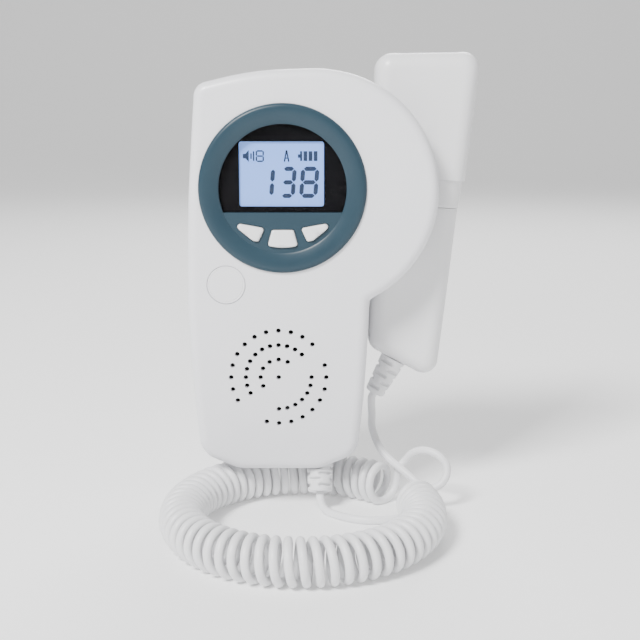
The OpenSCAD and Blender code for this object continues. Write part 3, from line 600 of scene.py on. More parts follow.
def smooth_line(points: Array, per_span: int) -> Array:
    """A curve through the points: on each span a cubic with the mean of the two chords' slopes."""
    knots = np.concatenate([[0], np.cumsum(np.sqrt(np.linalg.norm(np.diff(points, axis=0),
                                                                  axis=1)))])
    slope = np.empty_like(points)
    chord = np.diff(points, axis=0) / np.diff(knots)[:, None]
    before, after = np.diff(knots)[:-1, None], np.diff(knots)[1:, None]
    slope[1:-1] = (chord[:-1] * after + chord[1:] * before) / (before + after)
    slope[0], slope[-1] = chord[0], chord[-1]
    share = np.linspace(0, 1, per_span, endpoint=False)[:, None]
    spans = []
    for i in range(len(points) - 1):
        width = knots[i + 1] - knots[i]
        spans.append((2 * share ** 3 - 3 * share ** 2 + 1) * points[i]
                     + (share ** 3 - 2 * share ** 2 + share) * width * slope[i]
                     + (3 * share ** 2 - 2 * share ** 3) * points[i + 1]
                     + (share ** 3 - share ** 2) * width * slope[i + 1])
    return np.concatenate([*spans, points[-1:]])


def tube(name: str, line: Array, radius: float, sides: int, floor: float,
         finish: Finish, start: Array) -> bpy.types.Object:
    """A round tube along a line, lying no lower than the floor.

    Each ring is the line's point plus the radius times cosine and sine of two directions that
    are square to the line and carried along it without twist.

    Args:
        name: the piece's name.
        line: the centreline's points.
        radius: the tube's radius.
        sides: points round.
        floor: the height that no point goes below.
        finish: its material.
        start: a direction that the first ring's first point lies in.

    Returns:
        The new object.
    """
    along = np.gradient(line, axis=0)
    along /= np.linalg.norm(along, axis=1, keepdims=True)
    side = np.empty_like(line)
    now = start
    for i, heading in enumerate(along):
        now = now - (now @ heading) * heading
        now = now / np.linalg.norm(now)
        side[i] = now
    up = np.cross(along, side)
    turn = np.linspace(0, 2 * np.pi, sides, endpoint=False)[None, :, None]
    rings = line[:, None] + radius * (np.cos(turn) * side[:, None] + np.sin(turn) * up[:, None])
    rings[..., 2] = np.maximum(rings[..., 2], floor)
    return loops_piece(name, rings, finish, sharp=60.0)


@dataclass
class Cords:
    """The curly cord and its two free ends, in millimetres as in the part's source."""

    cord_d: float = 3.0
    curl_d: float = 16.2
    curls: int = 60
    centre: tuple[float, float] = (8.1, -55.2)
    half: tuple[float, float] = (42.4, 43.0)
    arc: tuple[float, float] = (44.0, 378.0)
    base: float = -72.4
    base_gap: float = 0.3
    body_route: list[list[float]] = field(default_factory=lambda: [
        [14.3, -33, 4.05], [15.2, -35.1, 2.3], [17.2, -37.7, 1.47], [20, -40.5, 1.43],
        [23.5, -43.1, 1.43], [27.5, -45.1, 1.43], [32, -46.1, 1.43], [36.5, -45.8, 1.43],
        [40.5, -44.6, 1.43]])
    probe_route: list[list[float]] = field(default_factory=lambda: [
        [34.1, -11.2, 31.5], [34.1, -12.9, 27], [35.4, -15.6, 22.8], [37.8, -19, 18.9],
        [41, -22.4, 16.2], [44.4, -25.6, 14.2], [48, -28.4, 11.9], [51.5, -31, 9.7],
        [55.2, -32.6, 8.9], [58.8, -32.6, 10.3], [61, -31.4, 13.3], [61.2, -29.8, 16.7],
        [59, -28, 19.5], [55.6, -26, 20.9], [52, -23.8, 20.7], [48.8, -21.8, 18.7],
        [46.6, -20.6, 15.7]])

    @property
    def floor(self) -> float:
        """The height of what the coil lies on: its lowest tenth of a diameter is cut flat."""
        return self.base - self.base_gap - self.curl_d + self.cord_d / 10

    def above_floor(self, route: list[list[float]]) -> Array:
        """Points of (x, y, height above the floor), in metres in the shared frame."""
        return (np.array(route) + [0, 0, self.floor]) * MM

    def strand(self, share: Array) -> Array:
        """The strand at a share of its way.

        A point of the oval, plus the curl's radius times the cosine of the turn outwards and
        its sine upwards.
        """
        angle = np.radians(self.arc[0] + (self.arc[1] - self.arc[0]) * share)
        turn = -np.radians(360 * self.curls + 90) * share
        out = np.stack([self.half[1] * np.cos(angle), self.half[0] * np.sin(angle)], 1)
        out /= np.linalg.norm(out, axis=1, keepdims=True)
        curl = (self.curl_d - self.cord_d) / 2
        flat = curl * np.cos(turn)
        middle = self.floor + self.curl_d / 2 - self.cord_d / 10
        return np.stack([self.centre[0] + self.half[0] * np.cos(angle) + flat * out[:, 0],
                         self.centre[1] + self.half[1] * np.sin(angle) + flat * out[:, 1],
                         middle + curl * np.sin(turn)], 1)

    def ends(self) -> tuple[Array, Array, Array, Array]:
        """The coil's two ends, a diameter straight beyond its curls, and their directions."""
        tiny = 1e-5
        first, last = self.strand(np.array([0.0, tiny])), self.strand(np.array([1 - tiny, 1.0]))
        into = (first[1] - first[0]) / np.linalg.norm(first[1] - first[0])
        off = (last[1] - last[0]) / np.linalg.norm(last[1] - last[0])
        return first[0] - self.cord_d * into, into, last[1] + self.cord_d * off, off

    def build(self, grommet: Placed, relief: Placed, relief_tip: Array,
              grommet_tip: Array) -> None:
        """Args:
            grommet: the unit's strain relief, whose Z axis points up into the unit.
            relief: the probe's strain relief, whose Z axis points up into the probe.
            relief_tip: where the cord leaves the probe's relief, in metres.
            grommet_tip: where the cord leaves the unit's relief, in metres.
        """
        start, into, end, off = self.ends()
        steps = 30
        share = np.linspace(0, 1, self.curls * steps + steps // 4 + 1)
        curls = self.strand(share)
        coil = np.concatenate([start[None], curls, end[None]]) * MM
        radius, floor = self.cord_d / 2 * MM, self.floor * MM
        made = tube("curly_cord_strand", coil, radius, 14, floor, FINISH.cord, np.array([1.0, 0, 0]))
        self.declare(made, "curly_cord")

        down = -grommet.z
        route = self.above_floor(self.body_route)
        line = np.concatenate([[grommet_tip, grommet_tip + 1.2 * MM * down], route,
                               [(end + 1.4 * off) * MM, end * MM]])
        line = smooth_line(line, 8)
        made = tube("body_cord_lead", line, radius, 20, floor, FINISH.cord, np.array([1.0, 0, 0]))
        self.declare(made, "body_cord")

        route = self.above_floor(self.probe_route)
        line = np.concatenate([[relief_tip, relief_tip - 2 * MM * relief.z], route,
                               [(start - 1.6 * into) * MM, start * MM]])
        line = smooth_line(line, 8)
        made = tube("probe_cord_lead", line, radius, 20, floor, FINISH.cord, np.array([0, 1.0, 0]))
        self.declare(made, "probe_cord", blended=True)

    def declare(self, made: bpy.types.Object, node: str,
                blended: bool = False) -> None:
        """Lets one stretch of cord, which leaves the object at its line's first point, ride on the
        unit, or bakes its place into its mesh where it is blended, and hides its node.

        Args:
            made: the tube.
            node: the node that it stands for.
            blended: True where it stretches between the unit and the probe.
        """
        if blended:
            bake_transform(made)
        else:
            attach(made, UNIT)
        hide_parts(node)


# --- Strain reliefs ----------------------------------------------------------


@dataclass
class StrainRelief:
    """A tapered sleeve with rows of short slots, each row turned by half a slot."""

    name: str
    node: str
    body: str
    at: Placed
    top_r: float
    end_r: float
    length: float
    rows: int
    top: float = 0.0
    neck_r: float = 3.0
    neck_h: float = 6.0
    tip_r: float = 0.6
    plain: float = 0.8
    slot_deep: float = 1.25

    def build(self) -> None:
        """Turns the sleeve's profile, with the slots pressed into it.

        The radius runs straight from top to end. A slot lowers it by its depth, times a soft
        step along the height and another round the sleeve.
        """
        pitch = (self.length - 2.0) / self.rows
        tip = self.tip_r
        heights = np.linspace(0, -self.length + tip, self.rows * 16)
        radius = self.top_r + (self.end_r - self.top_r) * (-heights / self.length)
        head = [[0.05, self.top + self.neck_h], [self.neck_r, self.top + self.neck_h],
                [self.neck_r, self.top], [self.top_r - 0.3, self.top]]
        quarter = np.linspace(0, np.pi / 2, 5)[1:]
        end = np.stack([self.end_r - tip * (1 - np.cos(quarter)),
                        -self.length + tip - tip * np.sin(quarter)], 1)
        profile = np.concatenate([head, np.stack([radius, heights], 1)[1:], end,
                                  [[0.05, -self.length]]])

        def slots(height: Array, turn: Array) -> Array:
            """The depth pressed in at each height and turn."""
            depth = -height / MM - self.plain
            row = np.floor(depth / pitch)
            inside = (row >= 0) & (row < self.rows)
            level = np.abs((depth / pitch - row) - 0.5) * pitch
            across = 1 / (1 + np.exp((level - 0.5) * 16))
            shift = np.where(row % 2 == 0, 0.0, np.pi / 3)
            bar = np.cos(3 * (turn + shift))
            about = 1 / (1 + np.exp((-bar - 0.15) * 9))
            return np.where(inside, -self.slot_deep * MM * across * about, 0.0)

        made = lathe(self.name, profile * MM, self.at, 96, FINISH.cord, 50.0, slots)
        keep(made, self.body, self.node)


# --- The unit's housing ------------------------------------------------------


@dataclass
class Housing:
    """The two shells, the battery door, the badge, the screws and the probe's holder."""

    height: float = 144.8
    depth: float = 34.0
    waist: float = 65.6
    base_w: float = 59.0
    wall: float = 2.0
    front_round: float = 3.5
    back_round: float = 7.0
    front_d: float = 17.0
    head: tuple[float, float, float] = (13.8, 29.9, 42.5)
    head_d: float = 13.8
    column_x: float = -1.0
    low_corner_r: float = 9.0
    low_corner_up: float = 12.0
    foot_flat: float = 13.6
    foot_corner_r: float = 7.3
    side_r: float = 14.0
    crown: tuple[float, float, float] = (4.4, 100.0, 86.0)
    shoulder: tuple[float, float, float] = (24.0, 9.3, 5.2)
    seam: tuple[float, float, float] = (0.3, 0.35, 0.02)
    post_r: float = 2.8
    bore_r: float = 1.2
    mouth_r: float = 2.2
    tab_x: float = 14.0
    bow: tuple[tuple[float, float], ...] = ((28, 1.1), (8, 0.3), (-10, 0.0), (-28, 0.7),
                                            (-44, 1.7))
    dial: tuple[float, float, float] = (0.8, 31.2, 28.4)
    speaker_z: float = -37.0
    hole_r: float = 0.9
    hole_circle: float = 17.3
    badge: tuple[float, float, float] = (-19.6, -3.0, 7.0)
    screws: tuple[tuple[float, float], ...] = ((-25.5, -58.4), (23.5, -58.4), (-23.5, 61.9),
                                               (21.5, 61.9))
    door: tuple[float, float, float] = (42.0, 55.0, -36.0)
    bay: tuple[float, float, float] = (32.2, 53.4, 15.6)

    def column(self) -> Array:
        """The discs that the column's outline is drawn round, as in the part's source."""
        top, base = self.height / 2, -self.height / 2
        low_r, foot_r, side_r = self.low_corner_r, self.foot_corner_r, self.side_r
        rows = [[s * (self.base_w / 2 - low_r), base + self.low_corner_up, low_r] for s in (-1, 1)]
        rows += [[s * self.foot_flat, base + foot_r, foot_r] for s in (-1, 1)]
        rows += [[s * (self.waist / 2 - side_r - inwards), z, side_r]
                 for z, inwards in self.bow for s in (-1, 1)]
        x, drop, radius = self.crown
        rows += [[x + radius * math.sin(a), top - drop + radius * math.cos(a), side_r]
                 for a in np.radians(np.arange(-12, 7, 3))]
        x, drop, radius = self.shoulder
        rows += [[s * x, top - drop, radius] for s in (-1, 1)]
        made = discs(rows)
        made[:, 0] += self.column_x * MM
        return made

    def whole(self) -> Outline:
        """The column joined to the round head, with a small fillet where they meet."""
        head = discs([self.head])
        return Outline((5 * MM, 10 * MM), (self.column(), head), 1.2 * MM)

    def alone(self) -> Outline:
        """The column's own outline."""
        return Outline((0.0, 0.0), (self.column(),))

    def front_shell(self) -> None:
        """The front shell: the face with its round head, and the column's skirt behind it."""
        face, niche = -self.depth * MM, (-self.depth + self.head_d) * MM
        split, wall = (-self.depth + self.front_d) * MM, self.wall * MM
        whole, alone = self.whole(), self.alone()
        round_r = self.front_round * MM
        shell = plate("front_shell_skin", whole, 420, face, niche, round_r, 0.0,
                      finish=FINISH.shell)
        deep, wide, apart = (v * MM for v in self.seam)
        groove = [(0.0, niche - 4 * MM), (0.0, split - wide), (deep, split - apart)]
        skirt = loops_piece("skirt", alone.loops(alone.turns(360), groove))
        carve(shell, skirt, "UNION")
        room = plate("room", whole, 420, face + wall, niche + 0.05 * MM, round_r - wall, 0.0, wall)
        carve(shell, room)
        room = plate("room", alone, 360, niche - 4 * MM, split + MM, 0.0, 0.0, wall)
        carve(shell, room)
        cuts = [prism("cut", disc(self.dial[2] * MM, 128, self.dial[0] * MM, self.dial[1] * MM),
                      face - MM, face + wall + MM),
                rods("cut", self.grille() * MM, self.hole_r * MM, face - MM, face + wall + MM, 20)]
        x, z, r = (v * MM for v in self.badge)
        cuts.append(prism("cut", disc(r, 96, x, z), face - MM, face + 0.65 * MM))
        carve(shell, join("cut", cuts))
        keep(shell, UNIT, "front_shell")

    def grille(self) -> Array:
        """Centres of the grille's holes: arcs of circles about one hole, in millimetres."""
        full, middle, inner = self.hole_circle, self.hole_circle * 0.69, self.hole_circle * 0.38
        arcs = [(full, 45, 210, 15), (full, -105, 15, 15), (middle, 45, 210, 15),
                (middle, -90, 0, 15), (inner, 60, 210, 30)]
        rows = [np.zeros((1, 2))]
        for radius, low, high, step in arcs:
            turn = np.radians(np.arange(low, high + 1, step))
            rows.append(polar(radius, turn))
        return np.concatenate(rows) + [self.column_x, self.speaker_z]

    def rear_shell(self) -> None:
        """The rear shell: a tray with a battery bay, its door's seat and the screws' mouths."""
        split, wall = (-self.depth + self.front_d) * MM, self.wall * MM
        alone, back = self.alone(), self.back_round * MM
        deep, wide, apart = (v * MM for v in self.seam)
        sides = [(deep, split + apart), (0.0, split + wide)]
        edge = rounding(0.0, 0.0, back, 10, inwards=False)[::-1]
        profile = sides + edge + [(edge[-1][0] + SUPPORT, 0.0)]
        shell = loops_piece("rear_shell_skin", alone.loops(alone.turns(360), profile), FINISH.shell)
        room = plate("room", alone, 360, split - MM, -wall, 0.0, back - wall, wall)
        carve(shell, room)
        bay_w, bay_h, bay_d = (v * MM for v in self.bay)
        mid, x = self.door[2] * MM, self.column_x * MM
        thick = 1.2 * MM
        box = block("bay", [x - bay_w / 2 - thick, -2 * MM - bay_d - thick,
                            mid - bay_h / 2 - thick],
                    [x + bay_w / 2 + thick, -wall + 0.5 * MM, mid + bay_h / 2 + thick])
        carve(shell, box, "UNION")
        posts = rods("posts", np.array(self.screws) * MM, self.post_r * MM, split + 0.15 * MM,
                     -wall + 0.5 * MM, 32)
        carve(shell, posts, "UNION")
        door_w, door_h = self.door[0] * MM, self.door[1] * MM
        gap = 0.3 * MM
        hinge_z, hinge_y = mid - door_h / 2 - 0.2 * MM, -2.1 * MM
        cuts = [block("cut", [x - bay_w / 2, -2 * MM - bay_d, mid - bay_h / 2],
                      [x + bay_w / 2, 5 * MM, mid + bay_h / 2])]
        seat = rounded_box(self.column_x, self.door[2], self.door[0], self.door[1], 2, 0.3)
        cuts.append(plate("cut", seat, 96, -2.05 * MM, 5 * MM, 0.0, 0.0))
        for tool in cuts:
            carve(shell, tool)
        swing = lathe("cut", np.array([[1e-7, -door_w / 2 - gap], [2.9 * MM, -door_w / 2 - gap],
                                       [2.9 * MM, door_w / 2 + gap],
                                       [1e-7, door_w / 2 + gap]]),
                      Placed(np.array([x, hinge_y, hinge_z]), np.array([0, 1.0, 0]),
                             np.array([0, 0, 1.0]), np.array([1.0, 0, 0])), 48)
        carve(shell, swing)
        for side in (self.column_x - self.tab_x, self.column_x + self.tab_x):
            carve(shell, block("cut", [(side - 2.3) * MM, hinge_y - 4.4 * MM, hinge_z - 4.2 * MM],
                               [(side + 2.3) * MM, hinge_y + 0.3 * MM, hinge_z + 3.2 * MM]))
        places = np.array(self.screws) * MM
        carve(shell, rods("cut", places, self.bore_r * MM, split - MM, MM, 24))
        carve(shell, rods("cut", places, self.mouth_r * MM, -4 * MM, MM, 40))
        keep(shell, UNIT, "rear_shell")

    def battery_door(self) -> None:
        """The door: a plate with rounded corners, a finger notch, grip lines and two tabs."""
        w, h, mid = self.door
        low, x = mid - h / 2, self.column_x
        made = plate("battery_door_skin", rounded_box(x, mid, w, h, 2), 160, -2 * MM, 0.0, 0.0,
                     0.35 * MM, finish=FINISH.shell)
        limit = plate("limit", self.alone(), 360, -6 * MM, 0.0, 0.0, self.back_round * MM)
        carve(made, limit, "INTERSECT")
        notch = lathe("notch", np.array([[0.0001, -0.8], [4.6, -0.8], [5.6, -0.3], [6.4, 1.0],
                                         [0.0001, 1.0]]) * MM,
                      Placed.along_y(x * MM, (low + h) * MM), 64)
        carve(made, notch)
        lines = [block("line", [(x - 9) * MM, -0.35 * MM, (low + h - 10 - 1.8 * i) * MM],
                       [(x + 9) * MM, MM, (low + h - 9.2 - 1.8 * i) * MM]) for i in range(5)]
        carve(made, join("lines", lines))
        hinge = low - 0.2
        for side in (x - self.tab_x, x + self.tab_x):
            tab = block("tab", [(side - 2) * MM, -3.35 * MM, (hinge - 3.6) * MM],
                        [(side + 2) * MM, -2.15 * MM, (hinge + 2.6) * MM])
            carve(made, tab, "UNION")
            web = block("web", [(side - 2) * MM, -3.35 * MM, (hinge + 0.9) * MM],
                        [(side + 2) * MM, -1.65 * MM, (hinge + 2.6) * MM])
            carve(made, web, "UNION")
        keep(made, DOOR, "battery_door")

    def round_badge(self) -> None:
        """The bare badge: a low disc with a fine step round it."""
        x, z, r = self.badge
        face = -self.depth
        profile = np.array([[0.0001, face + 0.6], [r - 0.15, face + 0.6], [r - 0.15, face + 0.3],
                            [r - 0.4, face], [r - 0.75, face], [r - 0.85, face + 0.1],
                            [r - 1.0, face + 0.1], [r - 1.1, face], [0.0001, face]])
        made = lathe("badge_disc", profile * MM, Placed.along_y(x * MM, z * MM), 96, FINISH.badge)
        keep(made, UNIT, "badge")

    def screw_heads(self, name: str, node: str, body: str, at: list[Placed],
                    length: float) -> None:
        """Pan heads with a cross recess, on their shanks.

        Args:
            name: the piece's name.
            node: the node that it stands for.
            body: the body that it rides on.
            at: one place for each screw, whose Z axis points out of the head.
            length: the shank's length in millimetres.
        """
        parts = []
        for where in at:
            turn = np.linspace(0, np.pi / 2, 6)
            dome = np.stack([1.2 + 0.8 * np.cos(turn), 0.75 + 0.65 * np.sin(turn)], 1)
            profile = np.concatenate([[[0.0001, -length]], [[0.6, -length], [0.98, -length + 0.8],
                                      [0.98, 0.0], [2.0, 0.0]], dome, [[0.0001, 1.4]]])
            head = lathe("head", profile * MM, where, 40, FINISH.steel)
            for a, b in ((1.15, 0.22), (0.22, 1.15)):
                corner = np.array([[-a, -b], [a, -b], [a, b], [-a, b]])
                loops = np.stack([np.concatenate([corner * s, np.full((4, 1), h)], 1)
                                  for s, h in ((0.6, 0.75), (1.0, 1.6))])
                carve(head, loops_piece("slot", where.put(loops * MM)))
            parts.append(head)
        made = join(name, parts)
        keep(made, body, node)

    def holder(self, probe_at: Placed) -> None:
        """The plate that closes the head's back, with the clip that reaches behind the probe.

        Args:
            probe_at: the probe's own frame.
        """
        x, z, r = self.head
        niche = -self.depth + self.head_d
        # A circle's arc from its straight left edge, with a tongue above the shells' screw.
        edge = r - self.wall - 0.15
        left, tongue, ledge = 27.0, 15.0, 65.2
        turn = np.linspace(-math.acos((left - x) / edge), math.acos((tongue - x) / edge), 90)
        arc = polar(edge, turn) + [x, z]
        outline = np.concatenate([arc, [[tongue, ledge], [left, ledge]]]) * MM
        made = prism("probe_holder_skin", outline, (niche - 2) * MM, niche * MM, FINISH.shell)
        # The clip's section in the probe's X and Y: a web, an arm behind the collar, and a lip.
        left, inner, back, front = -17.4, -15.8, 9.5, -10.8
        gap = 8.2
        lip = np.linspace(-np.pi / 2, np.pi / 2, 9)
        tip = np.stack([9.0 + 0.65 * np.cos(lip), 8.85 + 0.65 * np.sin(lip)], 1)
        outer = np.stack([left + 1.6 - 1.6 * np.sin(np.linspace(0, np.pi / 2, 7)),
                          back - 1.6 + 1.6 * np.cos(np.linspace(0, np.pi / 2, 7))], 1)
        section = np.concatenate([[[inner, front]], [[inner, gap]], tip, outer, [[left, front]]])
        loops = np.stack([np.concatenate([section, np.full((len(section), 1), h)], 1)
                          for h in (-9.9, -0.3)])
        clip = loops_piece("clip", probe_at.put(loops * MM))
        carve(made, clip, "UNION")
        places = np.array([[34.0, 57.0], [44.0, 12.0]]) * MM
        carve(made, rods("cut", places, self.mouth_r * MM, (niche - 1) * MM, (niche + 1) * MM, 40))
        soften(made, 0.15 * MM, 2, 50.0)
        keep(made, UNIT, "probe_holder")


# --- Dial --------------------------------------------------------------------


@dataclass
class Dial:
    """The bezel, the display and its marks, and the three buttons."""

    centre: tuple[float, float] = (0.8, 31.2)
    face: float = -34.0
    outer: float = 29.8
    window: float = 22.6
    proud: float = 1.4
    cut: float = 8.3
    keys_r: float = 20.7
    keys_top: float = 14.4
    side_key_in: float = 15.2
    half: float = 15.0
    gap: float = 10.0
    lcd: tuple[float, float, float] = (30.0, 22.8, 5.1)
    lcd_side: float = -0.4

    def at(self) -> Placed:
        """The dial's axis, along +Y."""
        return Placed.along_y(self.centre[0] * MM, self.centre[1] * MM)

    def segment_shape(self, radius: float, cut: float, count: int = 120) -> Array:
        """The window's outline: a circle with a straight edge below, in millimetres."""
        start = -math.asin(cut / radius)
        turn = np.linspace(start, np.pi - start, count)
        return polar(radius, turn) + self.centre

    def key_shape(self, which: int) -> Array:
        """A button's corners and arc about the dial's centre, in millimetres."""
        if which == 0:
            side = self.keys_top * math.tan(math.radians(self.half))
            turn = np.radians(np.linspace(-90 - self.half, -90 + self.half, 13))
            return np.concatenate([[[-side, -self.keys_top]], polar(self.keys_r, turn),
                                   [[side, -self.keys_top]]])
        edge = 90 - self.half - self.gap
        turn = np.radians(np.linspace(-edge, -35, 13))
        inner = polar(self.side_key_in, np.radians([-edge]))
        return np.concatenate([inner, polar(self.keys_r, turn)]) * [which, 1]

    @staticmethod
    def soft_corners(shape: Array, radius: float, grow: float, count: int = 96) -> Array:
        """A shape with round corners: its hull's tangents moved in, then rounded by a disc.

        Args:
            shape: its corners.
            radius: the corners' radius.
            grow: how far the rounded edge is moved out.
            count: points round, evenly spaced.

        Returns:
            The rounded outline, in the shape's own units.
        """
        centre = shape.mean(0)
        tangent = np.radians(np.arange(0, 360, 0.5))
        normal = polar(1.0, tangent)
        support = ((shape - centre) @ normal.T).max(0) - radius
        turn = np.linspace(0, 2 * np.pi, 721)[:-1]
        cosine = np.cos(tangent[None] - turn[:, None])
        inner = polar(edge_reach(support, cosine, 0.03), turn)
        support = (inner @ normal.T).max(0) + radius + grow
        points = polar(edge_reach(support, cosine, 0.03), turn)
        loop = np.concatenate([points, points[:1]])
        length = np.concatenate([[0], np.cumsum(np.linalg.norm(np.diff(loop, axis=0), axis=1))])
        even = np.interp(np.linspace(0, length[-1], count, endpoint=False), length,
                         np.arange(len(loop)))
        low = np.floor(even).astype(int)
        part = (even - low)[:, None]
        return loop[low] * (1 - part) + loop[np.minimum(low + 1, len(turn))] * part + centre

    def bezel(self) -> None:
        """The bezel: a dished ring turned about the dial's axis, and a plate under the window."""
        f, p = self.face, self.proud
        w, o = self.window, self.outer
        crest = np.linspace(0, 1, 15)
        top = np.stack([w + 0.25 + (o - 2.2 - w) * crest,
                        f - 0.35 - (p - 0.35) * np.sin(crest * np.pi / 2) ** 0.9], 1)
        turn = np.linspace(0, np.pi / 2, 7)[1:]
        edge = np.stack([o - 1.6 + 1.6 * np.sin(turn), f - p + (p - 0.02) * (1 - np.cos(turn))], 1)
        profile = np.concatenate([[[w, f + 0.6], [w, f - 0.15]], top, edge,
                                  [[28.25, f - 0.02], [28.25, f + 2.5], [w + 1.4, f + 2.5],
                                   [w + 1.4, f + 0.6]]])
        count = 160
        loops = np.linspace(0, 2 * np.pi, count, endpoint=False)
        local = np.stack([profile[:, None, 0] * np.cos(loops), profile[:, None, 0] * np.sin(loops),
                          np.repeat(profile[:, 1:], count, 1)], -1)
        # The last loop of the section joins the first, so that the ring is closed.
        quads = grid_faces(len(profile) + 1, count) % (len(profile) * count)
        ring = piece("dial_bezel_skin", self.at().put(local * MM).reshape(-1, 3),
                     quads.tolist(), FINISH.dial)
        low = -math.asin(self.cut / (w + 1.2))
        turn = np.linspace(np.pi - low, 2 * np.pi + low, 60)
        shape = polar(w + 1.2, turn) + self.centre
        panel = prism("panel", shape * MM, (f - 0.2) * MM, (f + 2.4) * MM)
        carve(ring, panel, "UNION")
        for which in (-1, 0, 1):
            shape = self.soft_corners(self.key_shape(which), 0.8, 0.25) + self.centre
            carve(ring, prism("cut", shape * MM, (f - 3) * MM, (f + 5) * MM))
        keep(ring, UNIT, "dial_bezel")

    def buttons(self) -> None:
        """The three buttons: crowned caps with round edges, on flanges and stems."""
        f = self.face
        names = {-1: "left", 0: "middle", 1: "right"}
        stems = {-1: (-12.6, -15.4), 0: (0.0, -17.5), 1: (12.6, -15.4)}
        for which, word in names.items():
            key = self.key_shape(which)
            profile = [(-3.4, -1.28), (-1.6, -1.22), (-0.75, -1.14), (-0.38, -1.02),
                       (-0.12, -0.8), (0.0, -0.5), (0.0, 2.51)]
            centre = key.mean(0)
            outline = self.soft_corners(key, 0.8, 0.0) - centre
            reach = np.linalg.norm(outline, axis=1, keepdims=True)
            loops = np.stack([np.concatenate([
                (outline * np.maximum(0.0, 1 + inset / reach) + centre + self.centre),
                np.full((len(outline), 1), f + y)], 1)[:, [0, 2, 1]] for inset, y in profile])
            cap = loops_piece(f"button_{word}_cap", loops * MM, FINISH.key, 30.0)
            shape = self.soft_corners(key, 0.8, 0.8) + self.centre
            carve(cap, prism("flange", shape * MM, (f + 2.5) * MM, (f + 3.3) * MM), "UNION")
            x, z = stems[which]
            stem = prism("stem", disc(1.5, 32, x + self.centre[0], z + self.centre[1]) * MM,
                         (f + 3.2) * MM, (f + 4.0) * MM)
            carve(cap, stem, "UNION")
            keep(cap, f"{word}_button", f"button_{word}")

    def window_parts(self) -> None:
        """The black mask with the display's opening."""
        f = self.face
        y = f + 1.95
        shape = self.segment_shape(self.window + 1.3, self.cut + 1)
        mask = prism("display_mask_skin", shape * MM, y * MM, (y + 0.6) * MM, FINISH.mask)
        w, h, up = self.lcd
        x, z = self.centre[0] + self.lcd_side, self.centre[1] + up
        opening = rounded_box(x, z, w, h, 0.9)
        carve(mask, plate("cut", opening, 96, (y - 1) * MM, (y + 2) * MM, 0.0, 0.0))
        keep(mask, UNIT, "display_mask")

    def marks(self) -> None:
        """Digits of seven segments, leaning a little, and a row of plain small signs."""
        x, z = self.centre[0] + self.lcd_side, self.centre[1] + self.lcd[2]
        shapes = [s + [x, z] for s in self.digits() + self.signs()]
        y = self.face + 2.6
        parts = [prism(f"mark_{i}", s * MM, (y - 0.07) * MM, (y - 0.01) * MM)
                 for i, s in enumerate(shapes)]
        made = join("display_marks", parts)
        made.data.materials.clear()
        made.data.materials.append(FINISH.ink.make())
        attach(made, UNIT)
        log.info("%s: %d faces", made.name, len(made.data.polygons))

    @staticmethod
    def bar(a: Sequence[float], b: Sequence[float], width: float, point: float = 0.5) -> Array:
        """A straight bar with pointed ends, from a to b, in millimetres."""
        a, b = np.array(a, float), np.array(b, float)
        way = (b - a) / np.linalg.norm(b - a)
        side = np.array([-way[1], way[0]]) * width / 2
        tip = way * width * point
        return np.array([a, a + tip - side, b - tip - side, b, b - tip + side, a + tip + side])

    def digits(self) -> list[Array]:
        """The segments of 1, 3 and 8, right-aligned."""
        lit = {"1": "bc", "3": "abcdg", "8": "abcdefg"}
        top, base, lean, gap, thick = 2.6, -8.4, 0.08, 0.42, 1.5
        middle, inset = (top + base) / 2, thick / 2
        shapes = []
        for sign, left, right in (("1", -7.5, -3.0), ("3", -0.9, 4.6), ("8", 6.1, 12.6)):
            x0, x1, z0, z1 = left + inset, right - inset, base + inset, top - inset
            ends = {"a": ((x0, z1), (x1, z1)), "g": ((x0, middle), (x1, middle)),
                    "d": ((x0, z0), (x1, z0)), "b": ((x1, z1), (x1, middle)),
                    "c": ((x1, middle), (x1, z0)), "f": ((x0, z1), (x0, middle)),
                    "e": ((x0, middle), (x0, z0))}
            for segment in lit[sign]:
                a, b = (np.array(e, float) for e in ends[segment])
                way = (b - a) / np.linalg.norm(b - a)
                shape = self.bar(a + way * gap / 2, b - way * gap / 2, thick)
                shape[:, 0] += lean * (shape[:, 1] - base)
                shapes.append(shape)
        return shapes

    def signs(self) -> list[Array]:
        """A sound sign, a small digit, a needle and a battery, as plain shapes."""
        mid, half = 6.3, 2.1
        shapes = [np.array([[-13.6, mid - 0.8], [-12.7, mid - 0.8], [-11.5, mid - half],
                            [-11.5, mid + half], [-12.7, mid + 0.8], [-13.6, mid + 0.8]])]
        shapes += [self.bar((-10.7, mid - 1.1), (-10.7, mid + 1.1), 0.5),
                   self.bar((-9.8, mid - 1.8), (-9.8, mid + 1.8), 0.5)]
        for level in (-1.8, 0.0, 1.8):
            shapes.append(self.bar((-8.7, mid + level), (-6.5, mid + level), 0.5))
        for side in (-8.8, -6.4):
            shapes += [self.bar((side, mid - 1.8), (side, mid - 0.1), 0.5),
                       self.bar((side, mid + 0.1), (side, mid + 1.8), 0.5)]
        shapes += [self.bar((1.0, mid - half), (1.8, mid + half), 0.5),
                   self.bar((2.6, mid - half), (1.8, mid + half), 0.5),
                   self.bar((1.4, mid - 0.7), (2.2, mid - 0.7), 0.4)]
        shapes += [np.array([[5.8, mid - 0.6], [6.6, mid - 0.6], [6.6, mid - 1.7],
                             [7.3, mid - 1.7], [7.3, mid + 1.7], [6.6, mid + 1.7],
                             [6.6, mid + 0.6], [5.8, mid + 0.6]])]
        for left in (7.8, 9.6, 11.4):
            shapes.append(np.array([[left, mid - 1.7], [left + 1.3, mid - 1.7],
                                    [left + 1.3, mid + 1.7], [left, mid + 1.7]]))
        return shapes


# --- Probe -------------------------------------------------------------------


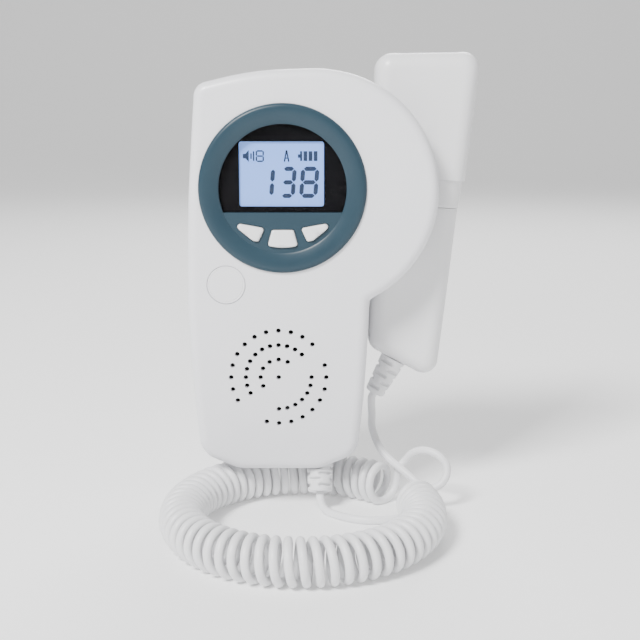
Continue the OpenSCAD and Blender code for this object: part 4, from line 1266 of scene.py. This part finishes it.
@dataclass
class Probe:
    """The probe: head, collar, two handle shells, face and strain relief."""

    x: float = 50.1
    y: float = -10.4
    z: float = 34.0
    tilt: float = 4.0
    head_h: float = 45.0
    top_w: float = 37.5
    mid_w: float = 34.2
    slant: float = 1.1
    depth: float = 19.0
    handle_h: float = 73.8
    low_w: float = 27.1
    wall: float = 1.8
    collar_h: float = 10.2
    handle_in: float = 1.4
    side_in: float = 0.8
    collar_in: float = 1.0
    foot_drop: float = 7.2
    foot_r: float = 5.5
    relief_shift: float = -0.8
    screws: tuple[float, float] = (-32.0, -56.5)
    edge_r: float = 5.5
    face_size: tuple[float, float, float] = (26.0, 11.0, 4.0)

    def at(self) -> Placed:
        """The probe's own frame, leaning by its tilt about the Y axis."""
        a = math.radians(self.tilt)
        return Placed(np.array([self.x, self.y, self.z]) * MM,
                      np.array([math.cos(a), 0, -math.sin(a)]), np.array([0, 1.0, 0]),
                      np.array([math.sin(a), 0, math.cos(a)]))

    def put(self, loops: Array) -> Array:
        """Loops worked out as (x, y, z) in metres, placed in the probe's frame."""
        return self.at().put(loops)

    def head_outline(self) -> Outline:
        """The head's outline in the probe's frame, down to a little below the collar."""
        rows = [[s * (self.top_w / 2 - 6), self.head_h - 6 + s * self.slant, 6] for s in (-1, 1)]
        rows += [[s * (self.mid_w / 2 - 6), -6, 6] for s in (-1, 1)]
        return Outline((0.0, 20 * MM), (discs(rows),))

    def handle_outline(self) -> Outline:
        """The handle's outline in the probe's frame, with its oblique foot."""
        r = self.foot_r
        rows = [[s * (self.mid_w / 2 - self.side_in - r), 6, r] for s in (-1, 1)]
        rows += [[-self.low_w / 2 + r, -self.handle_h + r + self.foot_drop, r],
                 [self.low_w / 2 - r, -self.handle_h + r, r]]
        return Outline((0.0, -32 * MM), (discs(rows),))

    def body(self, name: str, outline: Outline, half: float, edge: float, low: float,
             high: float, inset: float = 0.0) -> bpy.types.Object:
        """A pillow-edged plate, cut square at two heights.

        Args:
            name: the piece's name.
            outline: its shape.
            half: half its depth.
            edge: radius of its long edges.
            low: height of its lower cut, or far below for none.
            high: height of its upper cut, or far above for none.
            inset: how far the sides are moved in.

        Returns:
            The new object, in the probe's frame.
        """
        made = plate(name, outline, 260, -(half - inset) * MM, (half - inset) * MM,
                     (edge - inset) * MM, (edge - inset) * MM, inset * MM, FINISH.probe)
        span = block("span", [-0.1, -0.1, low * MM], [0.1, 0.1, high * MM])
        carve(made, span, "INTERSECT")
        return made

    def place(self, made: bpy.types.Object) -> None:
        """Moves a mesh from the probe's frame to the shared frame, and keeps its object still."""
        count = len(made.data.vertices)
        flat = np.empty(count * 3)
        made.data.vertices.foreach_get("co", flat)
        made.data.vertices.foreach_set("co", self.put(flat.reshape(-1, 3)).ravel())
        made.data.update()

    def build(self) -> None:
        """Makes every outer piece of the probe."""
        half, thin = self.depth / 2, self.depth / 2 - self.handle_in
        head = self.body("probe_head_skin", self.head_outline(), half, self.edge_r, 0.0, 100.0)
        carve(head, self.body("room", self.head_outline(), half, self.edge_r, -2.0, 100.0, self.wall))
        window = rounded_box(0.0, 0.0, *self.face_size)
        hole = window.loops(window.turns(96), [(0.0, -4.5 * MM), (0.0, 9 * MM)])[:, :, [0, 2, 1]]
        carve(head, loops_piece("cut", self.face_at().put(hole)))
        soften(head, 0.25 * MM, 2, 60.0)
        self.place(head)
        keep(head, PROBE, "probe_head")

        inner = [(inset * MM, level * MM) for inset, level in (
            (4.0, -2.1), (1.2, -2.1), (0.15, -2.1), (0.15, -0.4), (0.45, -0.05), (1.2, 0.0),
            (3.4, 0.0))]
        face = window.loops(window.turns(96), inner)[:, :, [0, 2, 1]]
        made = loops_piece("probe_face_pad", self.face_at().put(face), FINISH.face)
        self.place(made)
        keep(made, PROBE, "probe_face")

        handle = self.handle_outline()
        grow = self.collar_in - self.handle_in
        collar = self.body("probe_collar_skin", handle, thin, self.edge_r, -self.collar_h + 0.12, -0.12,
                           grow)
        carve(collar, block("cut", [-0.1, (thin - 0.2) * MM, -0.1], [0.1, 0.1, 0.1]))
        carve(collar, block("cut", [-0.1, -0.1, -0.1], [-15.5 * MM, 0.1, 0.1]))
        soften(collar, 0.2 * MM, 2, 60.0)
        self.place(collar)
        keep(collar, PROBE, "probe_collar")

        for word, sign in (("front", -1), ("back", 1)):
            shell = self.body(f"probe_handle_{word}_skin", handle, thin, self.edge_r, -100.0,
                              -self.collar_h - 0.12)
            carve(shell, self.body("room", handle, thin, self.edge_r, -100.0, 0.0, self.wall))
            low, high = ([-0.1, -0.1, -0.1], [0.1, -0.06 * MM, 0.1]) if sign < 0 else (
                [-0.1, 0.06 * MM, -0.1], [0.1, 0.1, 0.1])
            carve(shell, block("keep", low, high), "INTERSECT")
            if sign > 0:
                places = np.array([[0.0, h] for h in self.screws]) * MM
                carve(shell, rods("cut", places, 2.2 * MM, (thin - 3) * MM, 0.1, 40))
            soften(shell, 0.12 * MM, 2, 60.0)
            self.place(shell)
            keep(shell, PROBE, f"probe_handle_{word}")

    def face_at(self) -> Placed:
        """The face's frame within the probe's: the slant over the top discs' half distance."""
        a = math.atan(self.slant / (self.top_w / 2 - 6))
        return Placed(np.array([0, 0, self.head_h * MM]), np.array([math.cos(a), 0, math.sin(a)]),
                      np.array([0, 1.0, 0]), np.array([-math.sin(a), 0, math.cos(a)]))

    def relief_at(self) -> Placed:
        """Where the strain relief leaves the oblique foot, with its Z axis up into the handle."""
        r = self.foot_r
        angle = math.atan(self.foot_drop / (self.low_w - 2 * r))
        c, s = math.cos(angle), math.sin(angle)
        x, z = np.array([c, 0, -s]), np.array([s, 0, c])
        origin = (np.array([0, 0, -self.handle_h + r + self.foot_drop / 2])
                  + self.relief_shift * x - r * z)
        at = self.at()
        turn = np.stack([at.x, at.y, at.z])
        return Placed(at.put(origin * MM), x @ turn, np.array([0, 1.0, 0]), z @ turn)


# --- Batteries ---------------------------------------------------------------


@dataclass
class Springs:
    """The two battery springs, as wound cones."""

    middle: float = -1.0
    x: float = 7.4
    y: float = -10.0
    z: float = -36.0
    half: float = 25.0
    height: float = 1.4
    wide: float = 4.7
    taper: float = 1.9
    turns: int = 3
    wire_r: float = 0.22

    def build(self) -> None:
        """Winds each spring, whose radius falls by its taper as it rises."""
        parts = []
        for side in (-1, 1):
            share = np.linspace(0, 1, 145)
            turn = 2 * np.pi * self.turns * share
            radius = self.wide - self.taper * share
            rise = 0.25 + (self.height - 0.5) * share
            line = np.stack([self.middle + side * self.x + radius * np.cos(turn),
                             self.y + radius * np.sin(turn),
                             self.z - side * (self.half + self.height + 0.05 - rise)], 1)
            parts.append(tube(f"spring_{side}", line * MM, self.wire_r * MM, 8, -1.0, FINISH.nickel,
                              np.array([0, 0, 1.0])))
        made = join("battery_spring_coils", parts)
        keep(made, UNIT, "battery_springs")


def dress_nodes(finishes: dict[str, Finish]) -> None:
    """Gives each node that stays as it is its finish.

    Args:
        finishes: the finish of each node.
    """
    for name, finish in finishes.items():
        node = frame["nodes"][name]
        node.data.materials.clear()
        node.data.materials.append(finish.make())
    log.info("dressed %d nodes", len(finishes))


# --- Studio ------------------------------------------------------------------


@dataclass
class Studio:
    """The floor, the lights and the camera, in millimetres."""

    floor: float = -88.6
    eye: tuple[float, float, float] = (14.0, -426.65, 60.6)
    pitch: float = 11.0
    half_image: float = 320.0
    focal_pixels: float = 1111.1
    paper: float = 0.92
    paper_glow: float = 0.22
    sky: float = 0.42

    def camera(self) -> None:
        """A camera at the photograph's distance, pitched down."""
        data = bpy.data.cameras.new("camera")
        data.angle = 2 * math.atan(self.half_image / self.focal_pixels)
        data.clip_start, data.clip_end = 0.01, 20.0
        eye = bpy.data.objects.new("camera", data)
        bpy.context.scene.collection.objects.link(eye)
        eye.location = [v * MM for v in self.eye]
        eye.rotation_euler = (math.radians(90 - self.pitch), 0.0, 0.0)
        bpy.context.scene.camera = eye

    def stage(self) -> None:
        """A wide pale paper floor that rises in a cove behind, and an even pale world.

        The paper's section runs level, turns up through a quarter circle and goes on upright.
        """
        turn = np.linspace(0, np.pi / 2, 13)
        cove = np.stack([1.5 + np.sin(turn), self.floor * MM + 1 - np.cos(turn)], 1)
        section = np.concatenate([[[-4.0, self.floor * MM]], cove, [[2.5, 4.0]]])
        points = np.concatenate([np.insert(section, 0, x, axis=1) for x in (-5.0, 5.0)])
        low = np.arange(len(section) - 1)
        faces = np.stack([low, low + len(section), low + len(section) + 1, low + 1], 1)
        mesh = bpy.data.meshes.new("floor")
        mesh.from_pydata(points.tolist(), [], faces.tolist())
        mesh.shade_smooth()
        floor = bpy.data.objects.new("floor", mesh)
        bpy.context.scene.collection.objects.link(floor)
        paper = bpy.data.materials.new("floor_paper")
        paper.use_nodes = True
        shader = paper.node_tree.nodes["Principled BSDF"]
        shader.inputs["Base Color"].default_value = (self.paper, self.paper, self.paper, 1.0)
        shader.inputs["Roughness"].default_value = 0.9
        shader.inputs["Specular IOR Level"].default_value = 0.1
        shader.inputs["Emission Color"].default_value = (1.0, 1.0, 1.0, 1.0)
        shader.inputs["Emission Strength"].default_value = self.paper_glow
        mesh.materials.append(paper)
        world = bpy.data.worlds.new("studio")
        bpy.context.scene.world = world
        world.use_nodes = True
        sky = world.node_tree.nodes["Background"]
        sky.inputs["Color"].default_value = (1.0, 1.0, 1.0, 1.0)
        sky.inputs["Strength"].default_value = self.sky

    def light(self, name: str, place: Sequence[float], aim: Sequence[float], size: float,
              power: float) -> None:
        """A square soft light.

        Args:
            name: the light's name.
            place: where it hangs, in metres.
            aim: what it points at, in metres.
            size: its side in metres.
            power: its power in watts.
        """
        data = bpy.data.lights.new(name, "AREA")
        data.shape, data.size, data.energy = "SQUARE", size, power
        lamp = bpy.data.objects.new(name, data)
        bpy.context.scene.collection.objects.link(lamp)
        lamp.location = place
        lamp.rotation_euler = (Vector(aim) - Vector(place)).to_track_quat("-Z", "Y").to_euler()

    def lights(self) -> None:
        """A broad key from the upper left front, a fill from the right and one from behind."""
        self.light("key", (-0.5, -0.75, 0.85), (0.0, 0.0, 0.0), 0.35, 30.0)
        self.light("fill", (0.9, -0.6, 0.3), (0.0, 0.0, 0.0), 0.6, 1.5)
        self.light("back", (0.2, 0.9, 0.8), (0.0, 0.0, 0.0), 0.6, 9.0)


INNER_FINISHES: dict[str, Finish] = {
    "display_lens": FINISH.lens, "lcd_glass": FINISH.panel, "lcd_frame": FINISH.frame,
    "backlight": FINISH.diffuser, "lcd_contact_strip": FINISH.rubber,
    "tact_switches": FINISH.chip, "main_board": FINISH.board, "board_chips": FINISH.chip,
    "board_screws": FINISH.steel, "speaker_gasket": FINISH.rubber,
    "speaker_cone": FINISH.paper, "speaker_basket": FINISH.basket,
    "speaker_magnet": FINISH.ferrite, "battery_cells": FINISH.sleeve,
    "battery_plates": FINISH.nickel, "holder_screws": FINISH.steel,
    "probe_crystals": FINISH.ceramic, "probe_backing": FINISH.rubber,
    "probe_board": FINISH.board,
}


def main() -> None:
    """Builds the studio, then the cords, then each sub-assembly in order."""
    logging.basicConfig(level=logging.INFO, format="%(message)s")
    studio = Studio()
    studio.camera()
    probe, housing = Probe(), Housing()
    relief = probe.relief_at()
    lean = math.radians(25.0)
    grommet = Placed(np.array([14.0, -26.0, -72.4]) * MM, np.array([1.0, 0, 0]),
                     np.array([0, math.cos(lean), -math.sin(lean)]),
                     np.array([0, math.sin(lean), math.cos(lean)]))
    relief_tip = relief.origin - 15.6 * MM * relief.z
    grommet_tip = grommet.origin - 10.55 * MM * grommet.z
    Cords().build(grommet, relief, relief_tip, grommet_tip)
    StrainRelief("probe_relief_sleeve", "probe_relief", PROBE, relief, 5.0, 3.7, 15.5, 5).build()
    StrainRelief("unit_relief_sleeve", "cord_grommet", UNIT, grommet, 5.0, 4.5, 10.5, 4,
                 neck_r=3.4).build()
    housing.front_shell()
    housing.rear_shell()
    housing.battery_door()
    housing.round_badge()
    housing.holder(probe.at())
    mouth = [Placed.along_y(x * MM, z * MM) for x, z in housing.screws]
    housing.screw_heads("shell_screw_heads", "shell_screws", UNIT,
                        [Placed(m.origin + np.array([0, -4.0 * MM, 0]), m.x, m.y, m.z)
                         for m in mouth], 21.0)
    frame_p = probe.at()
    heads = [Placed(frame_p.put(np.array([0.0, 5.1, h]) * MM), frame_p.x, -frame_p.z, frame_p.y)
             for h in probe.screws]
    housing.screw_heads("probe_screw_heads", "probe_screws", PROBE, heads, 10.2)
    dial = Dial()
    dial.bezel()
    dial.buttons()
    dial.window_parts()
    dial.marks()
    probe.build()
    Springs().build()
    dress_nodes(INNER_FINISHES)
    studio.stage()
    studio.lights()


if __name__ == "__main__":
    main()
